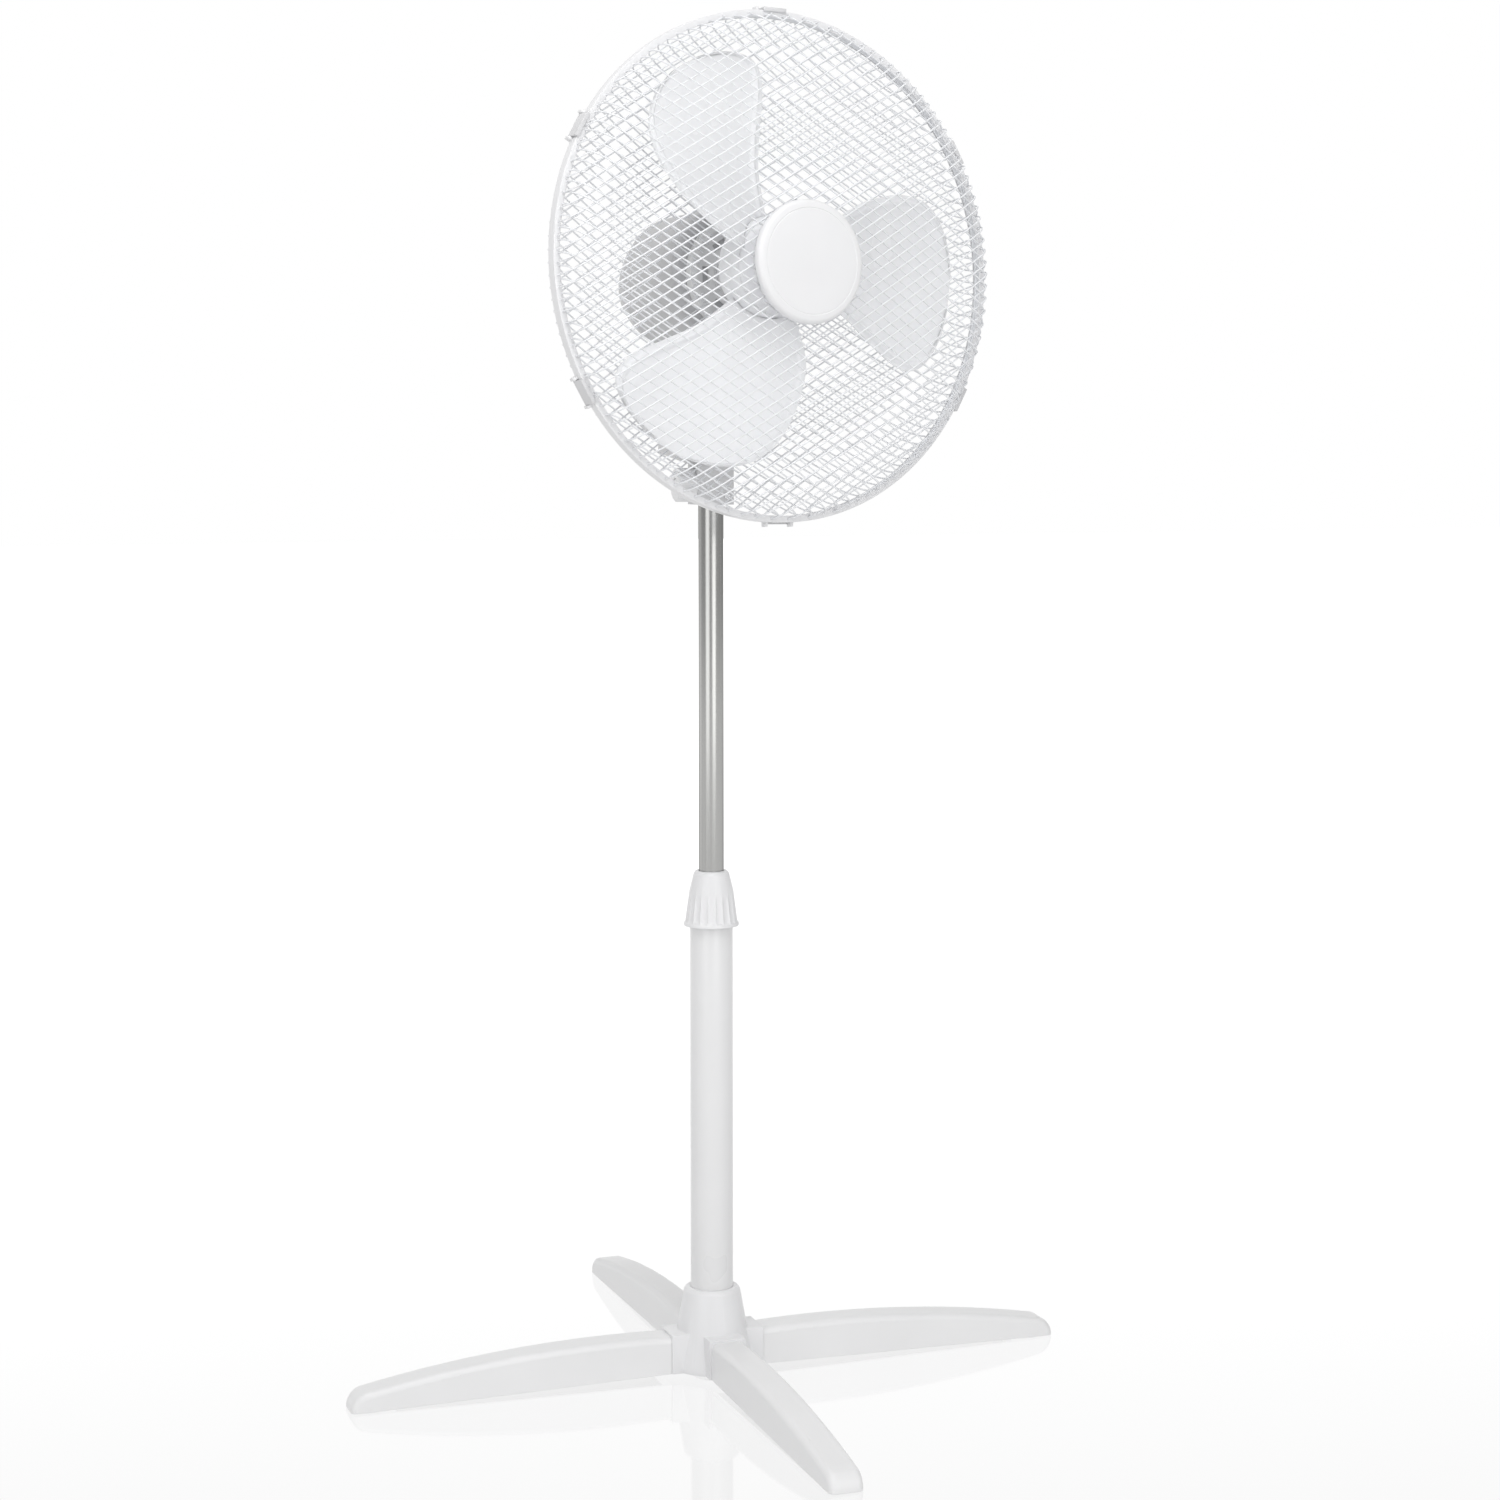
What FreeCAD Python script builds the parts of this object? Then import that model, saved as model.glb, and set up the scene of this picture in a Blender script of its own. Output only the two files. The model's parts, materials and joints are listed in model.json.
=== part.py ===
"""Pedestal fan on a four-legged stand, with an oscillating, tilting head.

Millimetres.  The origin is the floor point under the pole, +Z is up and -Y is the
front of the stand.  The head is drawn in a frame of its own, with its turning axis
along Y, and placed by one placement that holds its tilt and its swing at rest.
"""
import FreeCAD, Part
import math
import os

import Sketcher

V = FreeCAD.Vector
X_AXIS = V(1, 0, 0)
Y_AXIS = V(0, 1, 0)
Z_AXIS = V(0, 0, 1)

doc = FreeCAD.newDocument("PedestalFan")
sheet = doc.addObject("Spreadsheet::Sheet", "Sizes")


# ---------------------------------------------------------------- sizes

class Size:
    """A length or an angle that holds its number and the sheet formula that gives it."""

    def __init__(self, number, formula):
        self.number = number
        self.formula = formula

    def __add__(self, other):
        other = as_size(other)
        return Size(self.number + other.number, f"({self.formula} + {other.formula})")

    def __sub__(self, other):
        other = as_size(other)
        return Size(self.number - other.number, f"({self.formula} - {other.formula})")

    def __mul__(self, other):
        other = as_size(other)
        return Size(self.number * other.number, f"({self.formula} * {other.formula})")

    def __truediv__(self, other):
        other = as_size(other)
        return Size(self.number / other.number, f"({self.formula} / {other.formula})")

    def __neg__(self):
        return Size(-self.number, f"(0 - {self.formula})")

    __radd__ = __add__
    __rmul__ = __mul__

    def __rsub__(self, other):
        return as_size(other) - self

    def __float__(self):
        return float(self.number)


def as_size(value):
    """A plain number counts as a size with itself for its formula."""
    return value if isinstance(value, Size) else Size(value, repr(float(value)))


class Sizes:
    """The driving dimensions, one attribute for each row of the sheet."""


DRIVING = [
    # stand
    ("gap", 0.3, "clearance between pieces that move apart"),
    ("fit", 0.05, "radial clearance of a shaft or a sleeve in its bore"),
    ("wall", 2.2, "wall of the moulded casings"),
    ("hub_lift", 5, "underside of the hub above the floor"),
    ("hub_low_rad", 37, "hub radius at its foot"),
    ("hub_top_rad", 24, "hub radius at its lip"),
    ("hub_top", 78, "top of the hub"),
    ("hub_ledge", 20, "ledge in the hub that the pole stands on"),
    ("hub_floor", 14, "underside of that ledge"),
    ("collar_reach", 43, "end of a leg socket, from the pole axis"),
    ("collar_lip", 2, "how far a socket stands proud of its leg"),
    ("leg_wide", 30, "width of a leg"),
    ("leg_high", 33, "height of a leg at the hub"),
    ("leg_reach", 332, "tip of a leg, from the pole axis"),
    ("leg_tip_high", 18, "height of a leg at its rounded tip"),
    ("leg_arch_rad", 1180, "radius of the arched top of a leg"),
    ("leg_plug", 8, "depth of a leg's root in its socket"),
    ("leg_wall", 2.6, "wall of a leg"),
    ("pad_rad", 9, "radius of a leg's rubber pad"),
    ("pad_high", 3, "thickness of a rubber pad"),
    ("pad_set", 20, "pad centre in from the leg's tip"),
    # pole and height clamp
    ("pole_rad", 19, "outer tube radius"),
    ("pole_wall", 1.5, "outer tube wall"),
    ("pole_top", 405.5, "top of the outer tube"),
    ("mast_rad", 11, "inner tube radius"),
    ("mast_wall", 1.2, "inner tube wall"),
    ("mast_low", 300, "lower end of the inner tube"),
    ("mast_top", 812, "upper end of the inner tube"),
    ("bush_high", 24, "length of the guide bush on the inner tube"),
    ("collet_deep", 30, "depth of the collet in the outer tube"),
    ("ring_low_rad", 24.5, "height ring radius at its lower lip"),
    ("ring_high", 49, "height of the height ring"),
    # control box
    ("box_low", 777, "foot of the control box's neck"),
    ("neck_wide", 33, "width of the box's neck"),
    ("neck_deep", 27, "depth of the box's neck"),
    ("box_shoulder", 812, "where the neck widens to the box"),
    ("box_top", 872, "top of the control box"),
    ("box_wide", 78, "width of the control box"),
    ("box_deep", 66, "depth of the control box"),
    ("button_wide", 11, "width of a push button"),
    ("button_high", 17, "height of a push button"),
    ("button_pitch", 14.5, "distance between push buttons"),
    ("button_proud", 7, "how far a push button stands out"),
    ("knob_rad", 15, "radius of the clamp knob"),
    ("knob_long", 16, "length of the clamp knob"),
    ("knob_up", 17, "clamp knob above the foot of the neck"),
    # tilt and swing
    ("tilt_up", 18, "tilt bolt above the control box"),
    ("tilt_rest", 3.1, "upward tilt of the head at rest, degrees"),
    ("swing_rest", 12, "swing of the head at rest, degrees"),
    ("head_rise", 80, "fan axis above the tilt bolt"),
    ("ear_rad", 8.5, "radius of the tilt ears and of the barrel between them"),
    ("ear_thick", 4, "thickness of a tilt ear"),
    ("barrel_half", 13.5, "half the length of the tilt barrel"),
    ("bolt_rad", 4, "tilt bolt radius"),
    ("swivel_rad", 16, "radius of the swivel seat"),
    ("swivel_pin_rad", 5, "swivel pin radius"),
    ("link_x", 18, "link rivet to the side of the swivel axis"),
    ("link_y", 18, "link rivet behind the swivel axis"),
    ("crank_y", 62, "crank axis behind the swivel axis"),
    ("crank_rad", 14, "crank disc radius"),
    ("link_wide", 11, "width of the swing link"),
    ("link_thick", 2.2, "thickness of the swing link"),
    # motor
    ("motor_rad", 60, "motor housing radius"),
    ("motor_front", 42, "motor housing front face, ahead of the swivel axis"),
    ("motor_split", 40, "housing split, behind the swivel axis"),
    ("motor_back", 99, "motor housing back, behind the swivel axis"),
    ("motor_back_rad", 38, "radius at the back of the housing"),
    ("seat_low", 65.9, "swivel seat below the fan axis"),
    ("stator_rad", 42, "stator radius"),
    ("stator_long", 30, "stator length"),
    ("rotor_rad", 24.6, "rotor radius"),
    ("shaft_rad", 4, "motor shaft radius"),
    ("osc_back", 77, "oscillation knob behind the swivel axis"),
    ("osc_rad", 8.5, "oscillation knob radius"),
    # guard and blade
    ("rim_ahead", 109, "rim plane ahead of the swivel axis"),
    ("rim_rad", 212, "outer radius of the rim band"),
    ("rim_half", 4.6, "half the width of the rim band"),
    ("rim_wall", 1.6, "thickness of the rim band"),
    ("rim_wire", 2, "radius of the guards' rim wires"),
    ("wire", 0.7, "radius of the mesh wires"),
    ("wire_pitch", 17.8, "distance between wires of one family; every second wire of the real mesh"),
    ("wire_angle", 30.5, "slope of the wires to the horizontal, degrees"),
    ("front_depth", 43, "depth of the front guard's dome"),
    ("rear_depth", 54, "depth of the rear guard's dome"),
    ("shoulder", 24, "shoulder radius of the domes"),
    ("clip_wide", 22, "width of a rim clip"),
    ("clip_thick", 1.6, "thickness of a rim clip"),
    ("badge_rad", 51, "badge radius"),
    ("badge_thick", 8.5, "badge thickness"),
    ("plate_rad", 48, "radius of the guards' centre plates"),
    ("blade_rad", 183, "blade tip radius"),
    ("blade_hub_rad", 44, "blade hub radius"),
    ("blade_thick", 2.2, "blade thickness"),
    ("root_pitch", 28, "slant of a blade inside the hub, in degrees"),
    ("tip_pitch", 10, "slant of a blade beyond its tip, in degrees"),
    ("blade_count", 3, "number of blades"),
    ("blade_start", 125, "angle of the first blade, degrees"),
]

for row, (alias, number, meaning) in enumerate(DRIVING, start=1):
    sheet.set(f"A{row}", meaning)
    sheet.set(f"B{row}", str(number))
    sheet.setAlias(f"B{row}", alias)
    setattr(Sizes, alias, Size(number, f"Sizes.{alias}"))
doc.recompute()
S = Sizes


# ---------------------------------------------------------------- placements

STAND = FreeCAD.Placement()
tilt_height = S.box_top + S.tilt_up
TILT = FreeCAD.Placement(V(0, 0, float(tilt_height)), FreeCAD.Rotation(X_AXIS, -float(S.tilt_rest)))
HEAD = TILT * FreeCAD.Placement(V(0, 0, float(S.head_rise)), FreeCAD.Rotation(Z_AXIS, float(S.swing_rest)))


def round_fan_axis(angle):
    """The head's placement turned about the fan axis."""
    return HEAD * FreeCAD.Placement(V(0, 0, 0), FreeCAD.Rotation(Y_AXIS, angle))


# ---------------------------------------------------------------- modelling helpers

sub_parts = []


def keep(piece, label, place):
    """Register a sub-part under the name that its file takes."""
    piece.Label = label
    piece.Placement = place
    sub_parts.append(piece)
    return piece


def new_body(name):
    return doc.addObject("PartDesign::Body", "Body_" + name)


def new_sketch(body, role, lift=None):
    """A sketch on one of the body's own planes, raised by `lift` along the plane's normal."""
    drawing = body.newObject("Sketcher::SketchObject", "Outline")
    plane = [feature for feature in body.Origin.OriginFeatures if feature.Role == role][0]
    drawing.AttachmentSupport = [(plane, "")]
    drawing.MapMode = "FlatFace"
    if lift is not None:
        drawing.AttachmentOffset = FreeCAD.Placement(V(0, 0, float(lift)), FreeCAD.Rotation())
        drawing.setExpression("AttachmentOffset.Base.z", as_size(lift).formula)
    return drawing


def arc_through(start, end, radius):
    """The minor arc from start to end: a positive radius keeps its centre on the left."""
    chord = end - start
    height = math.sqrt(max(radius * radius - chord.Length ** 2 / 4, 0))
    left = V(-chord.y, chord.x, 0).normalize()
    centre = (start + end) * 0.5 + left * math.copysign(height, radius)
    circle = Part.Circle(centre, Z_AXIS, abs(radius))
    first, last = (start, end) if radius > 0 else (end, start)
    return Part.ArcOfCircle(circle, circle.parameter(first), circle.parameter(last))


def draw_outline(drawing, corners):
    """A closed outline; a corner's third value is the radius of the arc that leaves it."""
    points = [V(float(c[0]), float(c[1]), 0) for c in corners]
    count = len(corners)
    first = drawing.GeometryCount
    starts = []
    for i, corner in enumerate(corners):
        end = points[(i + 1) % count]
        if len(corner) == 3:
            drawing.addGeometry(arc_through(points[i], end, float(corner[2])), False)
            starts.append(1 if float(corner[2]) > 0 else 2)
        else:
            drawing.addGeometry(Part.LineSegment(points[i], end), False)
            starts.append(1)
    for i, corner in enumerate(corners):
        following = (i + 1) % count
        drawing.addConstraint(Sketcher.Constraint("Coincident", first + i, 3 - starts[i],
                                                  first + following, starts[following]))
        for kind, value in (("DistanceX", corner[0]), ("DistanceY", corner[1])):
            tie = Sketcher.Constraint(kind, -1, 1, first + i, starts[i], float(value))
            bind_constraint(drawing, tie, value)
        if len(corner) == 3:
            tie = Sketcher.Constraint("Radius", first + i, abs(float(corner[2])))
            size = as_size(corner[2])
            bind_constraint(drawing, tie, size if size.number > 0 else -size)


def draw_circle(drawing, x, y, radius):
    """A circle whose centre and radius are tied to the sheet."""
    circle = Part.Circle(V(float(x), float(y), 0), Z_AXIS, float(radius))
    index = drawing.addGeometry(circle, False)
    bind_constraint(drawing, Sketcher.Constraint("DistanceX", -1, 1, index, 3, float(x)), x)
    bind_constraint(drawing, Sketcher.Constraint("DistanceY", -1, 1, index, 3, float(y)), y)
    bind_constraint(drawing, Sketcher.Constraint("Radius", index, float(radius)), radius)


def bind_constraint(drawing, constraint, value):
    number = drawing.addConstraint(constraint)
    drawing.setExpression(f"Constraints[{number}]", as_size(value).formula)


def revolve(body, role, corners, kind="Revolution"):
    """Turn an outline about its sketch's upright axis; kind is Revolution or Groove."""
    drawing = new_sketch(body, role)
    draw_outline(drawing, corners)
    turn = body.newObject("PartDesign::" + kind, kind)
    turn.Profile = drawing
    turn.ReferenceAxis = (drawing, ["V_Axis"])
    turn.Angle = 360
    doc.recompute()
    return turn


def extrude(body, role, shapes, length, kind="Pad", lift=None, both=True, reverse=False):
    """Pad or Pocket closed outlines and circles; `both` spreads the length to either side."""
    drawing = new_sketch(body, role, lift)
    for shape in shapes:
        if shape[0] == "circle":
            draw_circle(drawing, *shape[1:])
        else:
            draw_outline(drawing, shape)
    block = body.newObject("PartDesign::" + kind, kind)
    block.Profile = drawing
    block.Length = float(length)
    block.setExpression("Length", as_size(length).formula)
    block.Midplane = both
    block.Reversed = reverse
    doc.recompute()
    return block


def rectangle(left, low, right, high):
    return [(left, low), (right, low), (right, high), (left, high)]


def soften(body, radius, wanted):
    """Round the edges of the body's last feature that `wanted` picks."""
    base = body.Tip
    names = [f"Edge{i}" for i, edge in enumerate(base.Shape.Edges, start=1) if wanted(edge)]
    fillet = body.newObject("PartDesign::Fillet", "Fillet")
    fillet.Base = (base, names)
    fillet.Radius = float(radius)
    fillet.setExpression("Radius", as_size(radius).formula)
    doc.recompute()
    return fillet


def repeat_round(body, features, axis_role, count, angle=360):
    """A polar pattern of features about one of the body's own axes."""
    pattern = body.newObject("PartDesign::PolarPattern", "PolarPattern")
    axis = [feature for feature in body.Origin.OriginFeatures if feature.Role == axis_role][0]
    pattern.Originals = features
    pattern.Axis = (axis, [""])
    pattern.Angle = angle
    pattern.Occurrences = count
    body.Tip = pattern
    doc.recompute()
    return pattern


def turned(name, corners, place=STAND, role="XZ_Plane"):
    """A sub-part turned from one outline of (radius, position along the axis) corners."""
    body = new_body(name)
    revolve(body, role, corners)
    return keep(body, name, place)


def ring_outline(inner, outer, low, high):
    return rectangle(inner, low, outer, high)


def solids(name, shapes, place=STAND):
    """A sub-part whose shape is set from Part's own functions."""
    piece = doc.addObject("Part::Feature", "Shape_" + name)
    piece.Shape = Part.makeCompound(shapes)
    return keep(piece, name, place)


def screw(head_rad, head_high, shank_rad, length):
    """A cross-slot screw: its head's top is at the origin and it points down -Z."""
    head = Part.makeCylinder(head_rad, head_high, V(0, 0, -head_high))
    shank = Part.makeCylinder(shank_rad, length, V(0, 0, -head_high - length))
    slot_long = head_rad * 1.1
    slot_wide = head_rad * 0.28
    slot_deep = head_high * 0.5
    body = head.fuse(shank).removeSplitter()
    for long_x, long_y in ((slot_long, slot_wide), (slot_wide, slot_long)):
        body = body.cut(Part.makeBox(long_x, long_y, slot_deep, V(-long_x / 2, -long_y / 2, -slot_deep)))
    return body


def stood(shape, at, direction):
    """A shape drawn along +Z, moved to a point and pointed along a direction."""
    copy = shape.copy()
    copy.Placement = FreeCAD.Placement(at, FreeCAD.Rotation(Z_AXIS, direction))
    return copy


# ---------------------------------------------------------------- stand

leg_foot = S.hub_lift
leg_crown = S.hub_lift + S.leg_high
socket_floor = S.collar_reach - S.leg_plug
pad_centre = S.leg_reach - S.pad_set
LEG_ANGLES = (("leg_right", 0), ("leg_back", 90), ("leg_left", 180), ("leg_front", 270))


def make_hub():
    """Cone-shaped hub with four leg sockets, a bore for the pole and a hollow foot."""
    body = new_body("base_hub")
    lip = 4
    neck = S.hub_top - lip
    revolve(body, "XZ_Plane", [
        (0, S.hub_lift), (S.hub_low_rad, S.hub_lift), (S.hub_low_rad, S.hub_lift + lip),
        (S.hub_top_rad + 1.5, neck, lip + 1), (S.hub_top_rad - 2, S.hub_top), (0, S.hub_top)])
    collar_half = S.leg_wide / 2 + S.collar_lip
    collar = extrude(body, "YZ_Plane", [rectangle(-collar_half, leg_foot, collar_half,
                                                  leg_crown + S.collar_lip)],
                     S.collar_reach - S.pole_rad, lift=S.pole_rad, both=False)
    mouth_half = S.leg_wide / 2 - S.leg_wall + S.fit
    mouth = extrude(body, "YZ_Plane",
                    [rectangle(-mouth_half, leg_foot + S.leg_wall - S.fit, mouth_half,
                               leg_crown - S.leg_wall + S.fit)],
                    S.leg_plug + S.fit, kind="Pocket", lift=S.collar_reach, both=False)
    repeat_round(body, [collar, mouth], "Z_Axis", len(LEG_ANGLES))
    bore = S.pole_rad + S.fit
    screw_hole = S.bolt_rad + S.fit
    foot = S.hub_low_rad - S.wall * 2
    revolve(body, "XZ_Plane", [
        (0, S.hub_ledge), (bore, S.hub_ledge), (bore, S.hub_top + lip), (0, S.hub_top + lip)], "Groove")
    revolve(body, "XZ_Plane", [
        (0, 0), (foot / 2, 0), (foot / 2, S.hub_floor), (screw_hole, S.hub_floor),
        (screw_hole, S.hub_ledge + 1), (0, S.hub_ledge + 1)], "Groove")
    keep(body, "base_hub", STAND)


def make_leg(name, angle):
    """Arched leg: a plug in the socket, a tapering channel, and a round tip on the floor."""
    body = new_body(name)
    tip_low = S.pad_high / 3
    nose = S.leg_reach - S.leg_tip_high * 0.8
    extrude(body, "XZ_Plane", [[
        (S.collar_reach, leg_foot), (nose, tip_low), (S.leg_reach, tip_low, S.leg_tip_high * 0.95),
        (nose, S.leg_tip_high, S.leg_arch_rad), (S.collar_reach, leg_crown)]], S.leg_wide)
    half = float(S.leg_wide) / 2

    def at_nose(edge):
        box = edge.BoundBox
        return box.YLength > half and box.XMin > float(S.leg_reach) - 1

    def along_top(edge):
        box = edge.BoundBox
        high = box.ZMax > float(S.leg_tip_high) * 0.9 and box.ZMin > float(tip_low) + 1
        return high and box.YLength < 1 and box.XLength > half and abs(abs(box.YMin) - half) < 1e-3

    def upright_tip(edge):
        box = edge.BoundBox
        return box.YLength < 1e-3 and box.XMin > float(nose) - 1 and abs(abs(box.YMin) - half) < 1e-3

    soften(body, S.leg_wide / 5, lambda edge: along_top(edge) or (upright_tip(edge) and edge.BoundBox.ZLength > 2))
    inner = S.leg_wide - S.leg_wall * 2
    hollow_start = S.collar_reach + S.leg_wall * 3
    hollow_end = S.leg_reach - S.pad_set * 2
    roof_start = leg_crown - S.leg_wall * 2
    roof_end = S.leg_tip_high - S.leg_wall * 1.5
    extrude(body, "XZ_Plane", [[
        (hollow_start, -1), (hollow_end, -1), (hollow_end, roof_end, S.leg_arch_rad),
        (hollow_start, roof_start)]], inner, kind="Pocket")
    plug_half = S.leg_wide / 2 - S.leg_wall
    plug = rectangle(-plug_half, leg_foot + S.leg_wall, plug_half, leg_crown - S.leg_wall)
    extrude(body, "YZ_Plane", [plug], S.leg_plug - S.fit, lift=socket_floor + S.fit, both=False)
    extrude(body, "XY_Plane", [("circle", pad_centre, 0, S.pad_rad + S.fit)], S.pad_high * 2, kind="Pocket")
    keep(body, name, FreeCAD.Placement(V(0, 0, 0), FreeCAD.Rotation(Z_AXIS, angle)))


def make_pads():
    """Rubber pads in the tips of the legs."""
    pads = []
    for name, angle in LEG_ANGLES:
        centre = FreeCAD.Rotation(Z_AXIS, angle).multVec(V(float(pad_centre), 0, 0))
        pads.append(Part.makeCylinder(float(S.pad_rad), float(S.pad_high - S.fit), centre))
    solids("leg_pads", pads)


def make_pole():
    """Outer tube, its plug and screw at the hub, and the collet at its top."""
    bore = S.pole_rad - S.pole_wall
    turned("outer_tube", ring_outline(bore, S.pole_rad, S.hub_ledge, S.pole_top))
    plug_high = 22
    turned("tube_plug", ring_outline(S.bolt_rad + S.fit, bore - S.fit, S.hub_ledge + S.gap / 3,
                                     S.hub_ledge + plug_high))
    flange = 1.5
    head = 5
    body = new_body("hub_screw")
    flats = S.bolt_rad * 1.8
    corners = []
    for step in range(6):
        turn = math.radians(60 * step)
        corners.append((flats * math.cos(turn), flats * math.sin(turn)))
    extrude(body, "XY_Plane", [corners], head, lift=S.hub_floor - flange - head, both=False)
    extrude(body, "XY_Plane", [("circle", 0, 0, S.bolt_rad * 2.6)], flange, lift=S.hub_floor - flange,
            both=False)
    extrude(body, "XY_Plane", [("circle", 0, 0, S.bolt_rad)], S.hub_ledge + plug_high - S.hub_floor,
            lift=S.hub_floor, both=False)
    keep(body, "hub_screw", STAND)
    slide = S.mast_rad + S.fit
    collar = S.pole_rad - 1
    turned("collet_sleeve", [
        (slide, S.pole_top - S.collet_deep), (bore - S.fit, S.pole_top - S.collet_deep),
        (bore - S.fit, S.pole_top + S.fit), (collar, S.pole_top + S.fit),
        (collar, S.pole_top + S.ring_high / 2),
        (slide + 1.5, S.pole_top + S.ring_high - 5), (slide, S.pole_top + S.ring_high - 5)])


def make_ring():
    """Height ring: a fluted skirt under a plain cone, over the top of the outer tube."""
    body = new_body("height_ring")
    low = S.pole_top
    lip = 3
    waist = low + S.ring_high * 0.62
    top_rad = S.mast_rad + 4
    top = low + S.ring_high
    revolve(body, "XZ_Plane", [
        (S.pole_rad + S.gap, low), (S.ring_low_rad, low), (S.ring_low_rad, low + lip),
        (S.ring_low_rad - 1.2, low + lip + 1), (S.pole_rad + 0.6, waist), (top_rad + 1, top - 4, 4),
        (top_rad - 1, top), (S.mast_rad + S.gap, top), (S.mast_rad + S.gap, top - 4),
        (S.mast_rad + 2.5, top - 5 + S.gap), (S.pole_rad - 1 + S.gap, low + S.ring_high / 2 + S.gap),
        (S.pole_rad - 1 + S.gap, low + S.gap), (S.pole_rad + S.gap, low + S.gap)])
    flutes = 20
    groove_rad = 1.1
    notch = extrude(body, "XY_Plane", [("circle", S.ring_low_rad - 0.2, 0, groove_rad)], S.ring_high * 0.55,
                    kind="Pocket", lift=low + lip + 1 + S.ring_high * 0.55, both=False)
    repeat_round(body, [notch], "Z_Axis", flutes)
    keep(body, "height_ring", STAND)


make_hub()
for leg_name, leg_angle in LEG_ANGLES:
    make_leg(leg_name, leg_angle)
make_pads()
make_pole()
make_ring()


# ---------------------------------------------------------------- mast and control box

turned("inner_tube", ring_outline(S.mast_rad - S.mast_wall, S.mast_rad, S.mast_low, S.mast_top))
turned("guide_bush", ring_outline(S.mast_rad + S.fit, S.pole_rad - S.pole_wall - S.fit * 1.5,
                                  S.mast_low, S.mast_low + S.bush_high))

box_half = S.box_wide / 2
deep_half = S.box_deep / 2
neck_half = S.neck_wide / 2
neck_deep_half = S.neck_deep / 2
flare = 10
gland_rad = 6.5
button_z = (S.box_shoulder + S.box_top) / 2 + 8
BUTTONS = ("button_off", "button_low", "button_medium", "button_high")


def button_x(index):
    return S.button_pitch * (index - (len(BUTTONS) - 1) / 2)


def box_profile(inset):
    """The control box from the front, drawn in by `inset`."""
    low = S.box_low + inset
    return [
        (-neck_half + inset, low), (neck_half - inset, low), (neck_half - inset, S.box_shoulder),
        (box_half - inset, S.box_shoulder + flare + inset / 2), (box_half - inset, S.box_top - inset),
        (-box_half + inset, S.box_top - inset), (-box_half + inset, S.box_shoulder + flare + inset / 2),
        (-neck_half + inset, S.box_shoulder)]


def make_box_shell(name, front):
    """Half of the control box, split on the plane of the pole, open towards it."""
    body = new_body(name)
    side = -1 if front else 1
    extrude(body, "XZ_Plane", [box_profile(0)], deep_half, both=False, reverse=not front)
    shoulder = S.box_shoulder
    away = deep_half + 5
    extrude(body, "YZ_Plane", [[
        (side * neck_deep_half, S.box_low - 1), (side * away, S.box_low - 1),
        (side * away, shoulder + flare * 2),
        (side * deep_half, shoulder + flare), (side * neck_deep_half, shoulder)]], S.box_wide * 2,
        kind="Pocket")

    def upright(edge):
        box = edge.BoundBox
        outer = abs(abs(box.Center.y) - float(deep_half)) < 0.5 and box.YLength < 0.5
        return outer and box.ZMin > float(shoulder) + flare - 2

    soften(body, S.wall * 2.5, upright)
    hollow = deep_half - S.wall
    inner_low = shoulder + flare
    inner = rectangle(-box_half + S.wall, inner_low, box_half - S.wall, S.box_top - S.wall)
    extrude(body, "XZ_Plane", [inner], hollow, kind="Pocket", both=False, reverse=front)
    tube = S.mast_rad + S.fit
    revolve(body, "XZ_Plane", [(0, S.box_low - 5), (tube, S.box_low - 5), (tube, inner_low + 1),
                               (0, inner_low + 1)], "Groove")
    mouth = rectangle(-S.barrel_half - S.ear_thick - 1, -S.swivel_rad, S.barrel_half + S.ear_thick + 1,
                      S.swivel_rad)
    extrude(body, "XY_Plane", [mouth], S.wall * 4, kind="Pocket", lift=S.box_top + S.wall, both=False)
    if front:
        for index in range(len(BUTTONS)):
            half = S.button_wide / 2 + S.gap
            tall = S.button_high / 2 + S.gap
            x = button_x(index)
            window = rectangle(x - half, button_z - tall, x + half, button_z + tall)
            extrude(body, "XZ_Plane", [window], S.wall * 4, kind="Pocket", lift=deep_half + S.wall,
                    both=False)
    else:
        extrude(body, "XZ_Plane", [("circle", 0, shoulder + flare * 2, gland_rad + S.fit)], S.wall * 4,
                kind="Pocket", lift=-(deep_half - S.wall * 2), both=False)
    knob_hole = S.bolt_rad / 2 + S.gap
    extrude(body, "YZ_Plane", [("circle", 0, S.box_low + S.knob_up, knob_hole)], S.neck_wide * 2,
            kind="Pocket", lift=-S.mast_rad * 0.5, both=False)
    keep(body, name, STAND)


make_box_shell("box_front", True)
make_box_shell("box_rear", False)



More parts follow.
